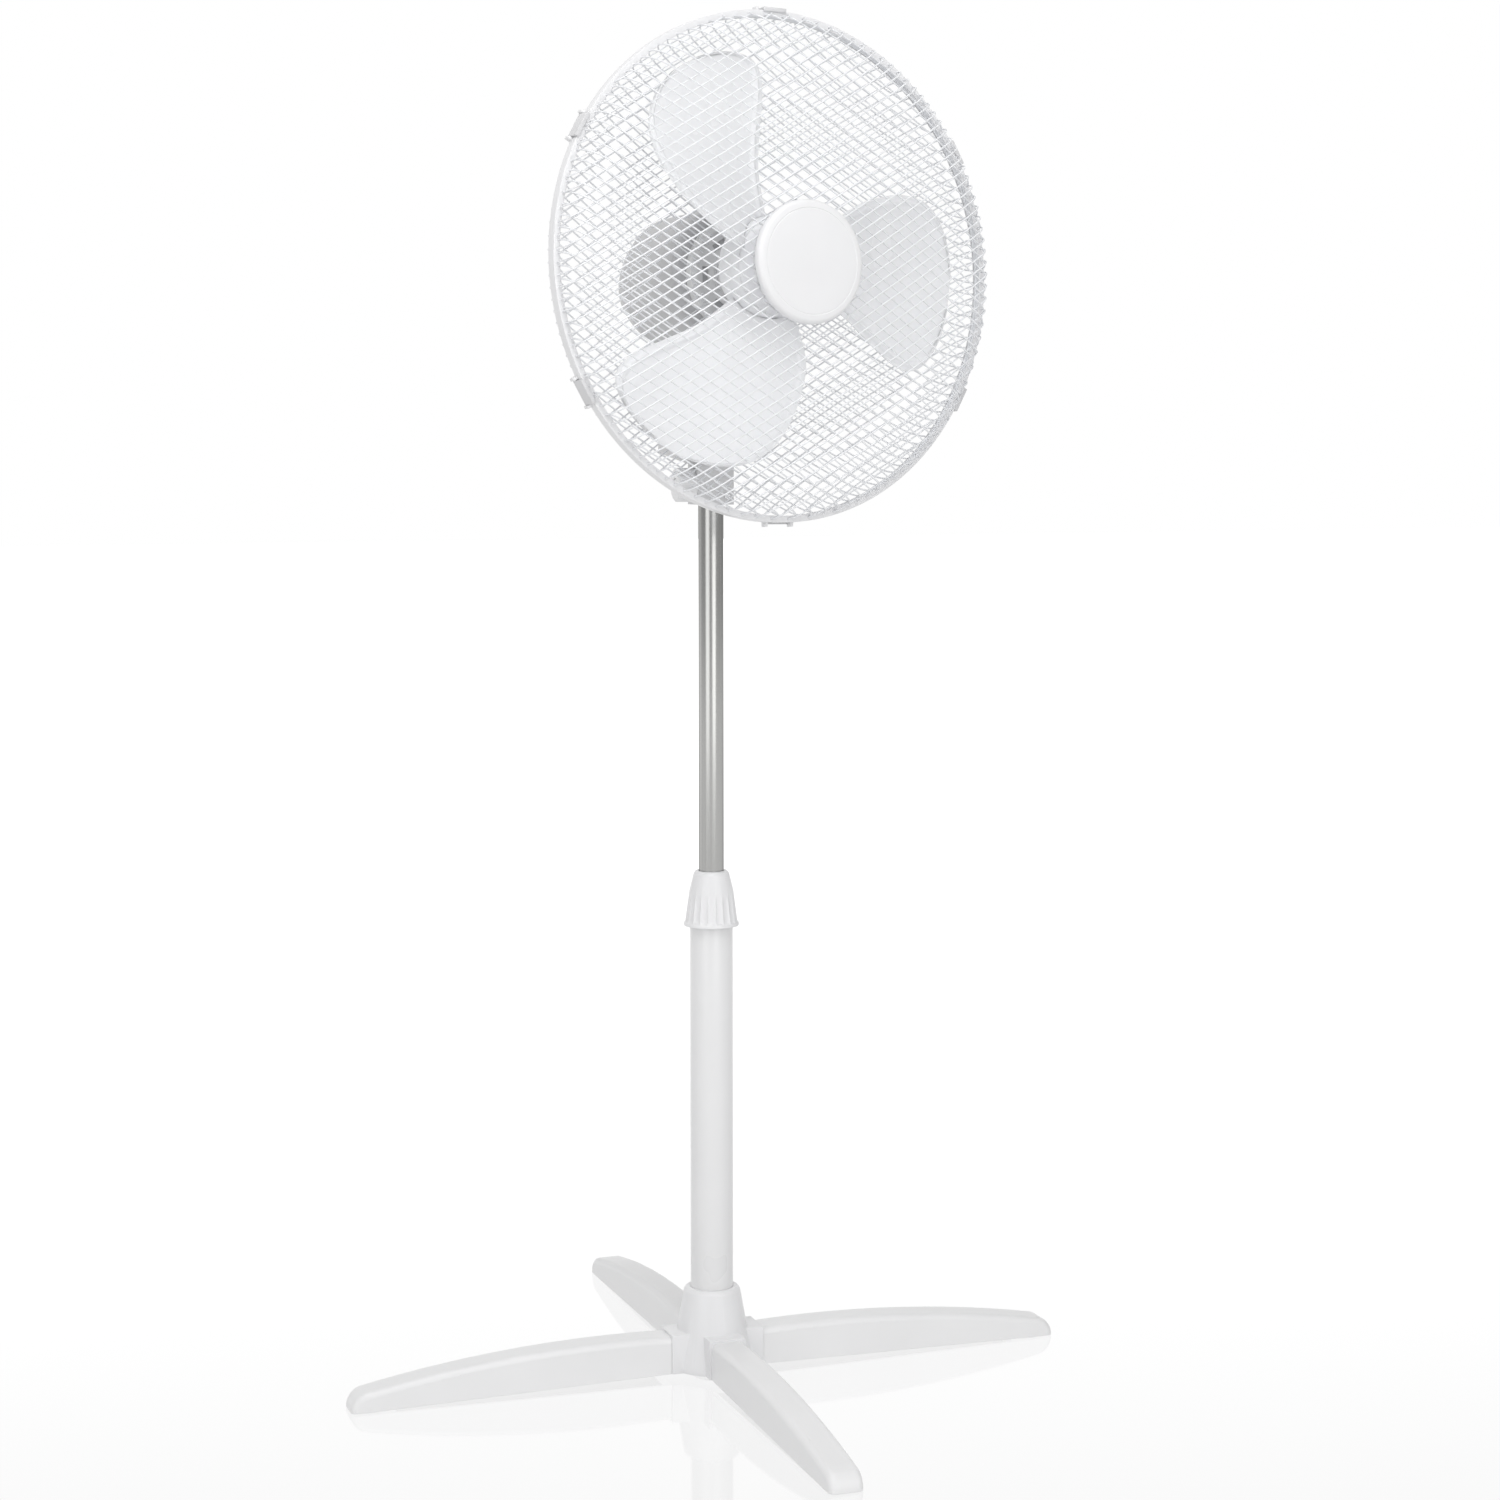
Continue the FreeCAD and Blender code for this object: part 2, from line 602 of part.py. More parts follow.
def make_mast_head():
    """Casting on top of the inner tube, with two ears for the tilt bolt."""
    body = new_body("mast_head")
    sleeve = S.mast_rad + 3.5
    seat = shoulder_line + S.gap
    bridge = S.box_top + 1
    deck_low = bridge - S.wall * 2
    ear_in = S.barrel_half + S.gap
    ear_out = ear_in + S.ear_thick
    revolve(body, "XZ_Plane", [(0, seat), (sleeve, seat), (sleeve, bridge), (0, bridge)])
    extrude(body, "XY_Plane", [rectangle(-ear_out, -S.ear_rad, ear_out, S.ear_rad)], S.wall * 2,
            lift=deck_low, both=False)
    ear = [(-S.ear_rad, bridge - 1), (S.ear_rad, bridge - 1), (S.ear_rad, tilt_height, S.ear_rad + S.fit),
           (-S.ear_rad, tilt_height)]
    for low_x in (-ear_out, ear_in):
        extrude(body, "YZ_Plane", [ear], S.ear_thick, lift=low_x, both=False)
    extrude(body, "YZ_Plane", [("circle", 0, tilt_height, S.bolt_rad + S.fit)], ear_out * 3, kind="Pocket")
    bore = S.mast_rad + S.fit
    revolve(body, "XZ_Plane", [(0, S.box_low), (bore, S.box_low), (bore, S.mast_top + S.gap / 3),
                               (0, S.mast_top + S.gap / 3)], "Groove")
    keep(body, "mast_head", STAND)


def make_switch_block():
    """Switch block behind the buttons."""
    body = new_body("switch_block")
    back = S.mast_rad + 4
    front = deep_half - S.wall - button_travel - 3
    half_wide = box_half - S.wall * 2
    half_high = S.button_high / 2 + 2
    extrude(body, "XZ_Plane", [rectangle(-half_wide, button_z - half_high, half_wide, button_z + half_high)],
            front - back, lift=back, both=False)
    keep(body, "switch_block", STAND)


def make_cord_gland():
    """Collared inlet for the mains lead in the back of the box, with an open bore."""
    body = new_body("cord_gland")
    inside = S.wall * 2
    height = shoulder_line + flare
    extrude(body, "XZ_Plane", [("circle", 0, height, gland_rad)], inside + S.wall,
            lift=-(deep_half + S.wall), both=False)
    extrude(body, "XZ_Plane", [("circle", 0, height, gland_rad + 2)], S.wall,
            lift=-(deep_half + S.wall + S.fit), both=False)
    extrude(body, "XZ_Plane", [("circle", 0, height, lead_rad)], S.wall * 12, kind="Pocket", lift=-deep_half)
    keep(body, "cord_gland", STAND)


def make_box_screws():
    """Self-tapping screws that hold the two halves of the box together."""
    screws = []
    for x in (-1, 1):
        for height in (S.box_top - 10, shoulder_line + 8):
            at = V(x * float(box_half - 10), float(deep_half) + 1.5, float(height))
            screws.append(stood(screw(3.4, 1.5, 1.5, 7), at, Y_AXIS))
    at = V(float(neck_half - 6), -float(neck_deep_half) - 1.2, float(S.box_low + 7))
    screws.append(stood(screw(2.6, 1.2, 1.2, 6), at, -Y_AXIS))
    solids("box_screws", screws)


def make_button(name, index):
    """A push button: a raised cap on a broader foot that stays behind the window."""
    body = new_body(name)
    x = button_x(index)
    half = S.button_wide / 2
    tall = S.button_high / 2
    foot = 1.2
    extrude(body, "XZ_Plane", [rectangle(x - half, button_z - tall, x + half, button_z + tall)],
            S.wall + S.button_proud + S.gap, lift=deep_half - S.wall - S.gap, both=False)

    def front_edge(edge):
        return edge.BoundBox.YMax < -float(deep_half + S.button_proud) + 0.1

    soften(body, 1.5, front_edge)
    extrude(body, "XZ_Plane", [rectangle(x - half - foot, button_z - tall - foot, x + half + foot,
                                         button_z + tall + foot)], 2, lift=deep_half - S.wall - S.gap - 2,
                                         both=False)
    keep(body, name, STAND)


def make_clamp_knob():
    """Fluted thumb knob on the left of the box's neck, and the screw through it."""
    body = new_body("clamp_knob")
    height = S.box_low + S.knob_up
    start = neck_half + S.gap
    extrude(body, "YZ_Plane", [("circle", 0, 0, S.knob_rad)], S.knob_long, lift=-(start + S.knob_long),
            both=False)
    soften(body, 2.5, lambda edge: edge.BoundBox.XMax < -float(start + S.knob_long) + 0.1)
    grip = extrude(body, "YZ_Plane", [("circle", 0, S.knob_rad + 2.2, 4)], S.knob_long + 4, kind="Pocket",
                   lift=-(start + S.knob_long + 2), both=False, reverse=True)
    repeat_round(body, [grip], "X_Axis", 8)
    sink = S.knob_rad * 0.4
    extrude(body, "YZ_Plane", [("circle", 0, 0, sink)], S.wall, kind="Pocket",
            lift=-(start + S.knob_long), both=False, reverse=True)
    extrude(body, "YZ_Plane", [("circle", 0, 0, S.bolt_rad / 2 + S.fit)], S.knob_long * 4, kind="Pocket",
            lift=-start)
    keep(body, "clamp_knob", FreeCAD.Placement(V(0, 0, float(height)), FreeCAD.Rotation()))
    head = V(-float(start + S.knob_long - S.wall) - 1.8, 0, float(height))
    reach = float(start + S.knob_long - S.wall - S.mast_rad - S.fit)
    solids("clamp_screw", [stood(screw(float(sink) - 1, 1.8, float(S.bolt_rad) / 2, reach), head, -X_AXIS)])


shoulder_line = S.box_shoulder + flare
button_travel = 4
lead_rad = 3.4
make_mast_head()
make_switch_block()
make_cord_gland()
make_box_screws()
for button_index, button_name in enumerate(BUTTONS):
    make_button(button_name, button_index)
make_clamp_knob()


# ---------------------------------------------------------------- tilt bracket, swivel and link

plate_up = S.head_rise - S.seat_low - S.gap
plate_thick = 4
link_low = plate_up - 1.5 + S.gap
link_high = link_low + S.link_thick


def make_tilt_parts():
    """Bolt and nut through the ears; the bracket, pin and link that turn about them."""
    reach = S.barrel_half + S.gap + S.ear_thick
    height = float(tilt_height)
    bolt = stood(screw(7, 3.5, float(S.bolt_rad), float(reach * 2 + 6)), V(float(reach) + 3.5, 0, height),
                 X_AXIS)
    nut = Part.makeCylinder(7, 5, V(-float(reach) - 5, 0, height), X_AXIS)
    thread = Part.makeCylinder(float(S.bolt_rad + S.fit), 8, V(-float(reach) - 6, 0, height), X_AXIS)
    solids("tilt_bolt", [bolt, nut.cut(thread)])

    body = new_body("tilt_bracket")
    extrude(body, "YZ_Plane", [("circle", 0, 0, S.ear_rad)], S.barrel_half * 2)
    rise = plate_up - plate_thick
    extrude(body, "XZ_Plane", [rectangle(-S.barrel_half, 0, S.barrel_half, rise + 1)], S.ear_rad * 1.6)
    extrude(body, "XY_Plane", [("circle", 0, 0, S.swivel_rad)], plate_thick, lift=rise, both=False)
    arm = S.link_wide / 2
    ear_top = link_low - S.gap
    extrude(body, "XY_Plane", [[(0, S.swivel_rad - 3), (S.swivel_rad - 3, 0),
                                (S.link_x + arm, S.link_y - arm / 2),
                                (S.link_x + arm, S.link_y + arm / 2), (S.link_x + arm / 2, S.link_y + arm),
                                (S.link_x - arm / 2, S.link_y + arm)]],
            ear_top - rise, lift=rise, both=False)
    extrude(body, "YZ_Plane", [("circle", 0, 0, S.bolt_rad + S.fit)], S.barrel_half * 4, kind="Pocket")
    extrude(body, "XY_Plane", [("circle", 0, 0, S.swivel_pin_rad)], plate_thick + S.wall, kind="Pocket",
            lift=plate_up, both=False)
    extrude(body, "XY_Plane", [("circle", S.link_x, S.link_y, rivet_rad)], plate_thick * 2, kind="Pocket",
            lift=plate_up, both=False)
    keep(body, "tilt_bracket", TILT)

    pin_low = plate_up - plate_thick - S.wall + S.fit
    pin_top = S.head_rise - S.stator_rad - 5
    head_rad = rivet_rad + 1.5
    rivet_top = link_high + S.gap
    rivet_low = plate_up - plate_thick
    pin = Part.makeCylinder(float(S.swivel_pin_rad), float(pin_top - pin_low), V(0, 0, float(pin_low)))
    rivet_at = V(float(S.link_x), float(S.link_y), float(rivet_low))
    rivet = Part.makeCylinder(rivet_rad, float(rivet_top - rivet_low), rivet_at)
    rivet_at.z = float(rivet_top)
    rivet = rivet.fuse(Part.makeCylinder(head_rad, 1, rivet_at)).removeSplitter()
    solids("bracket_pins", [pin, rivet], TILT)


def make_link():
    """Flat link from the bracket's rivet to the crank; its crank end hangs clear below the pin."""
    body = new_body("swing_link")
    swing = math.radians(float(S.swing_rest))
    run_x = -float(S.crank_y) * math.sin(swing) - float(S.link_x)
    run_y = float(S.crank_y) * math.cos(swing) - float(S.link_y)
    length = math.hypot(run_x, run_y)
    half = S.link_wide / 2
    extrude(body, "XY_Plane", [[(0, -half), (length, -half, half + S.fit), (length, half),
                                (0, half, half + S.fit)]],
            S.link_thick, lift=link_low, both=False)
    extrude(body, "XY_Plane", [("circle", 0, 0, rivet_rad + S.fit),
                               ("circle", length, 0, rivet_rad + S.fit)],
            S.link_thick * 4, kind="Pocket", lift=link_low)
    turn = FreeCAD.Rotation(Z_AXIS, math.degrees(math.atan2(run_y, run_x)))
    keep(body, "swing_link", TILT * FreeCAD.Placement(V(float(S.link_x), float(S.link_y), 0), turn))


rivet_rad = 2.5
make_tilt_parts()
make_link()


# ---------------------------------------------------------------- motor

# positions along the fan axis are given as -Y, so "ahead" is a negative y
front_face = -S.motor_front
split_face = S.motor_split
nut_long = 11
boss_long = 10
end_gap = 12
frame_plate = 2
stator_ahead = S.motor_front - S.wall - S.gap - end_gap - frame_plate - boss_long
stator_back = stator_ahead - S.stator_long
frame_rad = S.stator_rad + 2
bearing_rad = 8
shaft_ahead = S.rim_ahead + 27
shaft_back = 66


def make_motor_housing():
    """Drum-shaped front shell with its swivel seat, and the tapering rear shell."""
    collar = S.bolt_rad * 3.2
    body = new_body("motor_housing_front")
    inner = S.motor_rad - S.wall
    round_rad = 6
    revolve(body, "XY_Plane", [
        (0, front_face - nut_long - 3), (collar, front_face - nut_long - 3), (collar, front_face),
        (S.motor_rad - round_rad, front_face, round_rad), (S.motor_rad, front_face + round_rad),
        (S.motor_rad, split_face - S.fit), (0, split_face - S.fit)])
    extrude(body, "XY_Plane", [("circle", 0, 0, S.swivel_rad)], S.seat_low - S.motor_rad + 14,
            lift=-S.seat_low, both=False)
    bush_bore = S.swivel_pin_rad + 3 + S.fit
    revolve(body, "XY_Plane", [
        (0, front_face + S.wall), (inner - round_rad + S.wall, front_face + S.wall),
        (inner, front_face + round_rad),
        (inner, split_face + 1), (0, split_face + 1)], "Groove")
    extrude(body, "XY_Plane", [("circle", 0, 0, bush_bore)], 40, kind="Pocket", lift=-S.seat_low + 30,
            both=False)
    bore = bearing_rad + 1
    extrude(body, "XZ_Plane", [("circle", 0, 0, bore)], 40, kind="Pocket",
            lift=S.motor_front + nut_long + 10,
            both=False)
    keep(body, "motor_housing_front", HEAD)

    body = new_body("motor_housing_rear")
    back = S.motor_back
    taper_start = S.motor_split + 5
    taper_end = back - 8
    revolve(body, "XY_Plane", [
        (0, S.motor_split + S.fit), (S.motor_rad, S.motor_split + S.fit), (S.motor_rad, taper_start, 200),
        (S.motor_back_rad, taper_end, 9), (S.motor_back_rad - 8, back), (0, back)])
    revolve(body, "XY_Plane", [
        (0, S.motor_split - 1), (inner, S.motor_split - 1), (inner, taper_start, 200),
        (S.motor_back_rad - S.wall, taper_end - 1), (S.motor_back_rad - 8 - S.wall, back - S.wall),
        (0, back - S.wall)], "Groove")
    vent = extrude(body, "XZ_Plane", [rectangle(14, -1.5, 28, 1.5)], 20, kind="Pocket", lift=-back - 5,
                   both=False,
                   reverse=True)
    repeat_round(body, [vent], "Y_Axis", 12)
    crank_hole = S.bolt_rad + 1
    extrude(body, "XY_Plane", [("circle", 0, S.crank_y, crank_hole)], 40, kind="Pocket",
            lift=-S.motor_back_rad + 4,
            both=False)
    extrude(body, "XY_Plane", [("circle", 0, S.osc_back, S.bolt_rad + S.gap)], 40, kind="Pocket",
            lift=S.motor_rad + 5, both=False)
    keep(body, "motor_housing_rear", HEAD)
    turned("swivel_bush", ring_outline(S.swivel_pin_rad + S.fit, bush_bore - S.fit,
                                       -S.seat_low, -S.stator_rad - 5), HEAD)


def make_motor():
    """Stator, windings, end frames, bearings, gearbox, and the shaft with its rotor."""
    core_ahead = -stator_ahead
    core_back = -stator_back
    bearing_bore = float(S.shaft_rad + S.fit * 0.6)
    turned("stator_core", ring_outline(S.rotor_rad + 0.6, S.stator_rad, core_ahead, core_back), HEAD,
           "XY_Plane")
    windings = []
    for start in (core_ahead - 10 - S.fit, core_back + S.fit):
        outer = Part.makeCylinder(float(S.stator_rad) - 4, 10, V(0, float(start), 0), Y_AXIS)
        windings.append(outer.cut(Part.makeCylinder(float(S.rotor_rad) + 1.6, 10, V(0, float(start), 0),
                                                    Y_AXIS)))
    solids("stator_windings", windings, HEAD)
    bite = 8
    for name, side, face in (("motor_frame_front", -1, core_ahead), ("motor_frame_rear", 1, core_back)):
        wall_start = face - side * bite
        inside = face + side * end_gap
        outside = inside + side * frame_plate
        tip = outside + side * boss_long
        corners = [
            (S.stator_rad + S.fit, wall_start), (frame_rad, wall_start), (frame_rad, outside),
            (bearing_rad + 3, outside), (bearing_rad + 3, tip), (bearing_rad + S.fit, tip),
            (bearing_rad + S.fit, inside), (S.stator_rad + S.fit, inside)]
        turned(name, corners if side > 0 else corners[::-1], HEAD, "XY_Plane")
    bearings = []
    for side, face in ((-1, core_ahead), (1, core_back)):
        start = V(0, float(face + side * (end_gap + frame_plate)), 0)
        ring = Part.makeCylinder(bearing_rad, boss_long - 1, start, Y_AXIS * side)
        bearings.append(ring.cut(Part.makeCylinder(bearing_bore, boss_long, start, Y_AXIS * side)))
    solids("motor_bearings", bearings, HEAD)
    turned("rotor_core", ring_outline(S.shaft_rad, S.rotor_rad, core_ahead, core_back), HEAD, "XY_Plane")
    turned("motor_shaft", [(0, -shaft_ahead), (S.shaft_rad - 0.6, -shaft_ahead),
                           (S.shaft_rad, -shaft_ahead + 0.6),
                           (S.shaft_rad, shaft_back - 0.6), (S.shaft_rad - 0.6, shaft_back),
                           (0, shaft_back)],
           HEAD, "XY_Plane")
    case_start = core_back + end_gap + frame_plate + boss_long + S.gap
    case_end = S.osc_back + S.osc_rad
    half = 17
    body = new_body("gearbox_case")
    low = -S.motor_back_rad + 6
    extrude(body, "XY_Plane", [rectangle(-half, case_start, half, case_end)], 22 - low, lift=low, both=False)
    soften(body, 3, lambda edge: edge.BoundBox.ZLength > 10)
    extrude(body, "XZ_Plane", [("circle", 0, 0, S.shaft_rad + 1)], shaft_back - case_start + 2,
            kind="Pocket",
            lift=-case_start + 1, both=False, reverse=False)
    extrude(body, "XY_Plane", [("circle", 0, S.crank_y, S.bolt_rad + S.fit)], 12, kind="Pocket", lift=low,
            both=False, reverse=True)
    extrude(body, "XY_Plane", [("circle", 0, S.osc_back, S.bolt_rad - 1 + S.fit)], 18, kind="Pocket",
            lift=22,
            both=False)
    keep(body, "gearbox_case", HEAD)

    crank_top = -S.motor_rad - 1.1
    crank_thick = 3
    body = new_body("crank_disc")
    pin_clear = -S.head_rise + link_high + S.gap
    extrude(body, "XY_Plane", [("circle", 0, 0, S.crank_rad)], crank_thick, lift=crank_top - crank_thick,
            both=False)
    extrude(body, "XY_Plane", [("circle", 0, 0, S.bolt_rad)], low + 10 - crank_top, lift=crank_top,
            both=False)
    extrude(body, "XY_Plane", [("circle", 0, S.crank_rad - 3.5, rivet_rad)],
            crank_top - crank_thick - pin_clear,
            lift=pin_clear, both=False)
    keep(body, "crank_disc", HEAD * FreeCAD.Placement(V(0, float(S.crank_y), 0), FreeCAD.Rotation()))

    body = new_body("oscillation_knob")
    knob_low = 51
    knob_high = 5
    revolve(body, "XZ_Plane", [
        (0, 6), (S.bolt_rad - 1, 6), (S.bolt_rad - 1, knob_low), (S.osc_rad - 1.5, knob_low),
        (S.osc_rad - 1.5, knob_low + 2), (S.osc_rad, knob_low + 3),
        (S.osc_rad, knob_low + knob_high - 1.5, 1.5 + S.fit),
        (S.osc_rad - 1.5, knob_low + knob_high), (0, knob_low + knob_high)])
    keep(body, "oscillation_knob", HEAD * FreeCAD.Placement(V(0, float(S.osc_back), 0), FreeCAD.Rotation()))

    screws = []
    for angle in (45, 135, 225, 315):
        turn = math.radians(angle)
        reach = float(S.motor_back_rad) - 14
        at = V(reach * math.cos(turn), float(S.motor_back) + 1.2, reach * math.sin(turn))
        screws.append(stood(screw(3, 1.2, 1.4, 5), at, Y_AXIS))
    solids("housing_screws", screws, HEAD)


make_motor_housing()
make_motor()


# ---------------------------------------------------------------- guards

rim_bore = S.rim_rad - S.rim_wall
rim_centre = rim_bore - S.gap / 3 - S.rim_wire
layer_step = float(S.wire) * 2 + 0.12
wire_end_gap = 0.15


def dome_arcs(offset, reach, depth, hole, turn, base, forward):
    """One wire of a dome, as the solids left of it outside the centre plate.

    The wire lies in the plane `offset` from the fan axis.  Its path is a shallow arc
    across the dome with a tangent shoulder arc at each end, scaled down towards the rim.
    """
    scale = math.sqrt(1 - (offset / reach) ** 2)
    half = reach * scale
    rise = depth * scale
    small = float(S.shoulder) * scale
    large = ((half - small) ** 2 + rise ** 2 - small ** 2) / (2 * (rise - small))
    lean = math.atan2(half - small, large - rise)

    def shallow(angle):
        return V(large * math.sin(angle), rise - large + large * math.cos(angle), offset)

    def bend(angle):
        return V(half - small + small * math.sin(angle), small * math.cos(angle), offset)

    quarter = math.pi / 2
    shoulder = Part.Arc(bend(quarter), bend((quarter + lean) / 2), bend(lean)).toShape()
    if abs(offset) < hole:
        start = math.asin(math.sqrt(hole ** 2 - offset ** 2) / large)
        crown = Part.Arc(shallow(lean), shallow((lean + start) / 2), shallow(start)).toShape()
        path = Part.Wire([shoulder, crown])
        parts = [path, path.mirror(V(0, 0, 0), X_AXIS)]
    else:
        crown = Part.Arc(shallow(lean), shallow(0), shallow(-lean)).toShape()
        parts = [Part.Wire([shoulder, crown, shoulder.mirror(V(0, 0, 0), X_AXIS)])]
    wires = []
    for side, path in zip((1, -1), parts):
        foot = V(side * half, 0, offset)
        section = Part.Wire([Part.makeCircle(float(S.wire), foot, Y_AXIS)])
        wire = path.makePipeShell([section], True, False)
        wires.append(wire)
    placed = []
    for wire in wires:
        flip = FreeCAD.Rotation(Z_AXIS, 180) if forward else FreeCAD.Rotation()
        wire.Placement = FreeCAD.Placement(V(0, base, 0), FreeCAD.Rotation(Y_AXIS, turn) * flip)
        placed.append(wire)
    return placed


def mesh_dome(depth, hole, base, forward):
    """Two families of crossing wires, one layer over the other, ending at the rim wire."""
    wires = []
    steps = int((float(rim_centre) - float(S.wire) * 6) / float(S.wire_pitch))
    for layer, slope in enumerate((1, -1)):
        outward = layer * layer_step - layer_step / 2
        for step in range(-steps, steps + 1):
            offset = (step + 0.5) * float(S.wire_pitch)
            if abs(offset) < float(rim_centre) - float(S.wire) * 6:
                wires += dome_arcs(offset, float(rim_centre) + outward, depth + outward, hole,
                                   slope * float(S.wire_angle), base, forward)
    return wires


def dome_sag(depth):
    """How far a dome falls back from its crown at the edge of a centre plate."""
    large = ((rim_centre - S.shoulder) * (rim_centre - S.shoulder) + depth * depth - S.shoulder * S.shoulder)
    return S.plate_rad * S.plate_rad * (depth - S.shoulder) / large


def rim_ring(y):
    """A guard's rim wire, a closed ring round the fan axis."""
    return Part.makeTorus(float(rim_centre), float(S.rim_wire), V(0, y, 0), Y_AXIS)


def make_guards():
    """Rim wires and mesh domes, the plates at their centres, and the nut on the motor."""
    ahead = float(S.rim_ahead)
    beside = float(S.rim_wire + S.fit)
    clear = float(S.rim_wire) * 2 + wire_end_gap
    hole = float(S.plate_rad) - 4
    front_wires = mesh_dome(float(S.front_depth), hole, -ahead - clear, True)
    solids("front_guard", [rim_ring(-ahead - beside)] + front_wires, HEAD)
    rear_wires = mesh_dome(float(S.rear_depth), hole, -ahead + clear, False)
    solids("rear_guard", [rim_ring(-ahead + beside)] + rear_wires, HEAD)


make_guards()


def make_guard_plates():
    """The rear guard's slotted plate and its nut; the badge and the plate behind it."""
    rear_crown = -S.rim_ahead + wire_end_gap + S.rim_wire * 2 + S.rear_depth
    plate_back = -S.motor_front - S.gap
    plate_ahead = rear_crown - dome_sag(S.rear_depth) + layer_step / 2 + S.wire + wire_end_gap * 5
    body = new_body("rear_guard_plate")
    collar_hole = motor_collar_rad + S.gap
    revolve(body, "XY_Plane", [
        (collar_hole, plate_back - 2), (S.plate_rad - 6, plate_back - 2), (S.plate_rad - 6, plate_ahead),
        (S.plate_rad, plate_ahead), (S.plate_rad, plate_back), (collar_hole, plate_back)])
    slot_mid = S.plate_rad * 0.62
    slot = extrude(body, "XZ_Plane", [rectangle(slot_mid - 3, -7, slot_mid + 3, 7)], 30, kind="Pocket",
                   lift=60,
                   both=False)
    repeat_round(body, [slot], "Y_Axis", 6)
    keep(body, "rear_guard_plate", HEAD)

    body = new_body("guard_nut")
    nut_back = plate_back - 2 - S.fit
    revolve(body, "XY_Plane", [
        (motor_collar_rad + S.fit, nut_back - nut_long), (motor_collar_rad + 7, nut_back - nut_long),
        (motor_collar_rad + 7, nut_back - 2), (motor_collar_rad + 9, nut_back - 2),
        (motor_collar_rad + 9, nut_back), (motor_collar_rad + S.fit, nut_back)])
    keep(body, "guard_nut", HEAD)

    front_crown = -S.rim_ahead - wire_end_gap - S.rim_wire * 2 - S.front_depth
    backing_face = front_crown + 2.6
    turned("badge_plate", [(0, backing_face), (S.plate_rad, backing_face + 1),
                           (S.plate_rad, backing_face + 3),
                           (0, backing_face + 3)], HEAD, "XY_Plane")
    badge_back = front_crown - 1.6
    badge_face = badge_back - S.badge_thick
    edge = 4
    turned("badge", [(0, badge_face), (S.badge_rad - edge * 2, badge_face, 260),
                     (S.badge_rad - edge, badge_face + 1, edge + 0.6), (S.badge_rad, badge_face + edge + 1),
                     (S.badge_rad, badge_back), (0, badge_back)], HEAD, "XY_Plane")
    screws = []
    for angle in (90, 210, 330):
        turn = math.radians(angle)
        reach = float(S.plate_rad) * 0.55
        at = V(reach * math.cos(turn), float(backing_face) + 3 + 1.2, reach * math.sin(turn))
        screws.append(stood(screw(3, 1.2, 1.3, 8), at, Y_AXIS))
    solids("badge_screws", screws, HEAD)


CLIPS = (("rim_clip_top", 90), ("rim_clip_upper_left", 150), ("rim_clip_lower_left", 210),
         ("rim_clip_lower_right", 330), ("rim_clip_upper_right", 30))


def make_rim():
    """Band round both rim wires, with six pairs of lugs: five hinge a clip, one takes a screw."""
    middle = -S.rim_ahead
    body = new_body("rim_band")
    revolve(body, "XY_Plane", ring_outline(rim_bore, S.rim_rad, middle - S.rim_half, middle + S.rim_half))
    lug_back = middle + S.rim_half + 3.6
    lug_top = S.rim_rad + 3.4
    lug = [(middle + 1, rim_bore + 0.2), (lug_back, rim_bore + 0.2), (lug_back, lug_top),
           (middle + 2, lug_top),
           (middle + 1, S.rim_rad)]
    lugs = []
    for low_x in (-S.clip_wide / 2 - S.gap - 2.5, S.clip_wide / 2 + S.gap):
        lugs.append(extrude(body, "YZ_Plane", [lug], 2.5, lift=low_x, both=False))
    lugs.append(extrude(body, "YZ_Plane", [("circle", hinge_y, hinge_z, 1)], S.clip_wide * 2, kind="Pocket"))
    repeat_round(body, lugs, "Y_Axis", 6)
    keep(body, "rim_band", HEAD)

    pins = []
    for name, angle in CLIPS:
        make_clip(name, angle)
        pin = Part.makeCylinder(0.95, float(S.clip_wide + 5), V(-float(S.clip_wide) / 2 - 2.5, 0, 0), X_AXIS)
        pin.translate(V(0, float(hinge_y), float(hinge_z)))
        pin.Placement = FreeCAD.Placement(V(0, 0, 0), FreeCAD.Rotation(Y_AXIS, 90 - angle)) * pin.Placement
        pins.append(pin)
    solids("clip_pins", pins, HEAD)
    head = 1.5
    head_rad = float(hinge_y - (middle + S.rim_half) - S.gap)
    foot = V(-float(S.clip_wide / 2 + S.gap) - 2.5 - head, float(hinge_y), float(hinge_z))
    bolt = stood(screw(head_rad, head, 0.9, float(S.clip_wide) + 5), foot, -X_AXIS)
    solids("rim_screw", [bolt], round_fan_axis(180))


def make_clip(name, angle):
    """A snap clip: a barrel on its pin, a plate over the band and a lip over its front edge."""
    body = new_body(name)
    half_wide = S.clip_wide
    low = S.rim_rad + S.gap
    top = low + S.clip_thick
    front = -S.rim_ahead - S.rim_half - S.gap
    lip = S.clip_thick - 0.4
    extrude(body, "YZ_Plane", [[
        (front - lip, rim_bore), (front, rim_bore), (front, low), (hinge_y, low), (hinge_y, top),
        (front - lip, top)]], half_wide)
    extrude(body, "YZ_Plane", [("circle", hinge_y, hinge_z, barrel_rad)], half_wide)
    extrude(body, "YZ_Plane", [("circle", hinge_y, hinge_z, 1)], S.clip_wide * 2, kind="Pocket")
    keep(body, name, round_fan_axis(90 - angle))


barrel_rad = 1.8
hinge_y = -S.rim_ahead + S.rim_half + 1.8
hinge_z = S.rim_rad + S.gap + S.clip_thick - barrel_rad + 0.2
motor_collar_rad = S.bolt_rad * 3.2
make_guard_plates()
make_rim()


# ---------------------------------------------------------------- blade

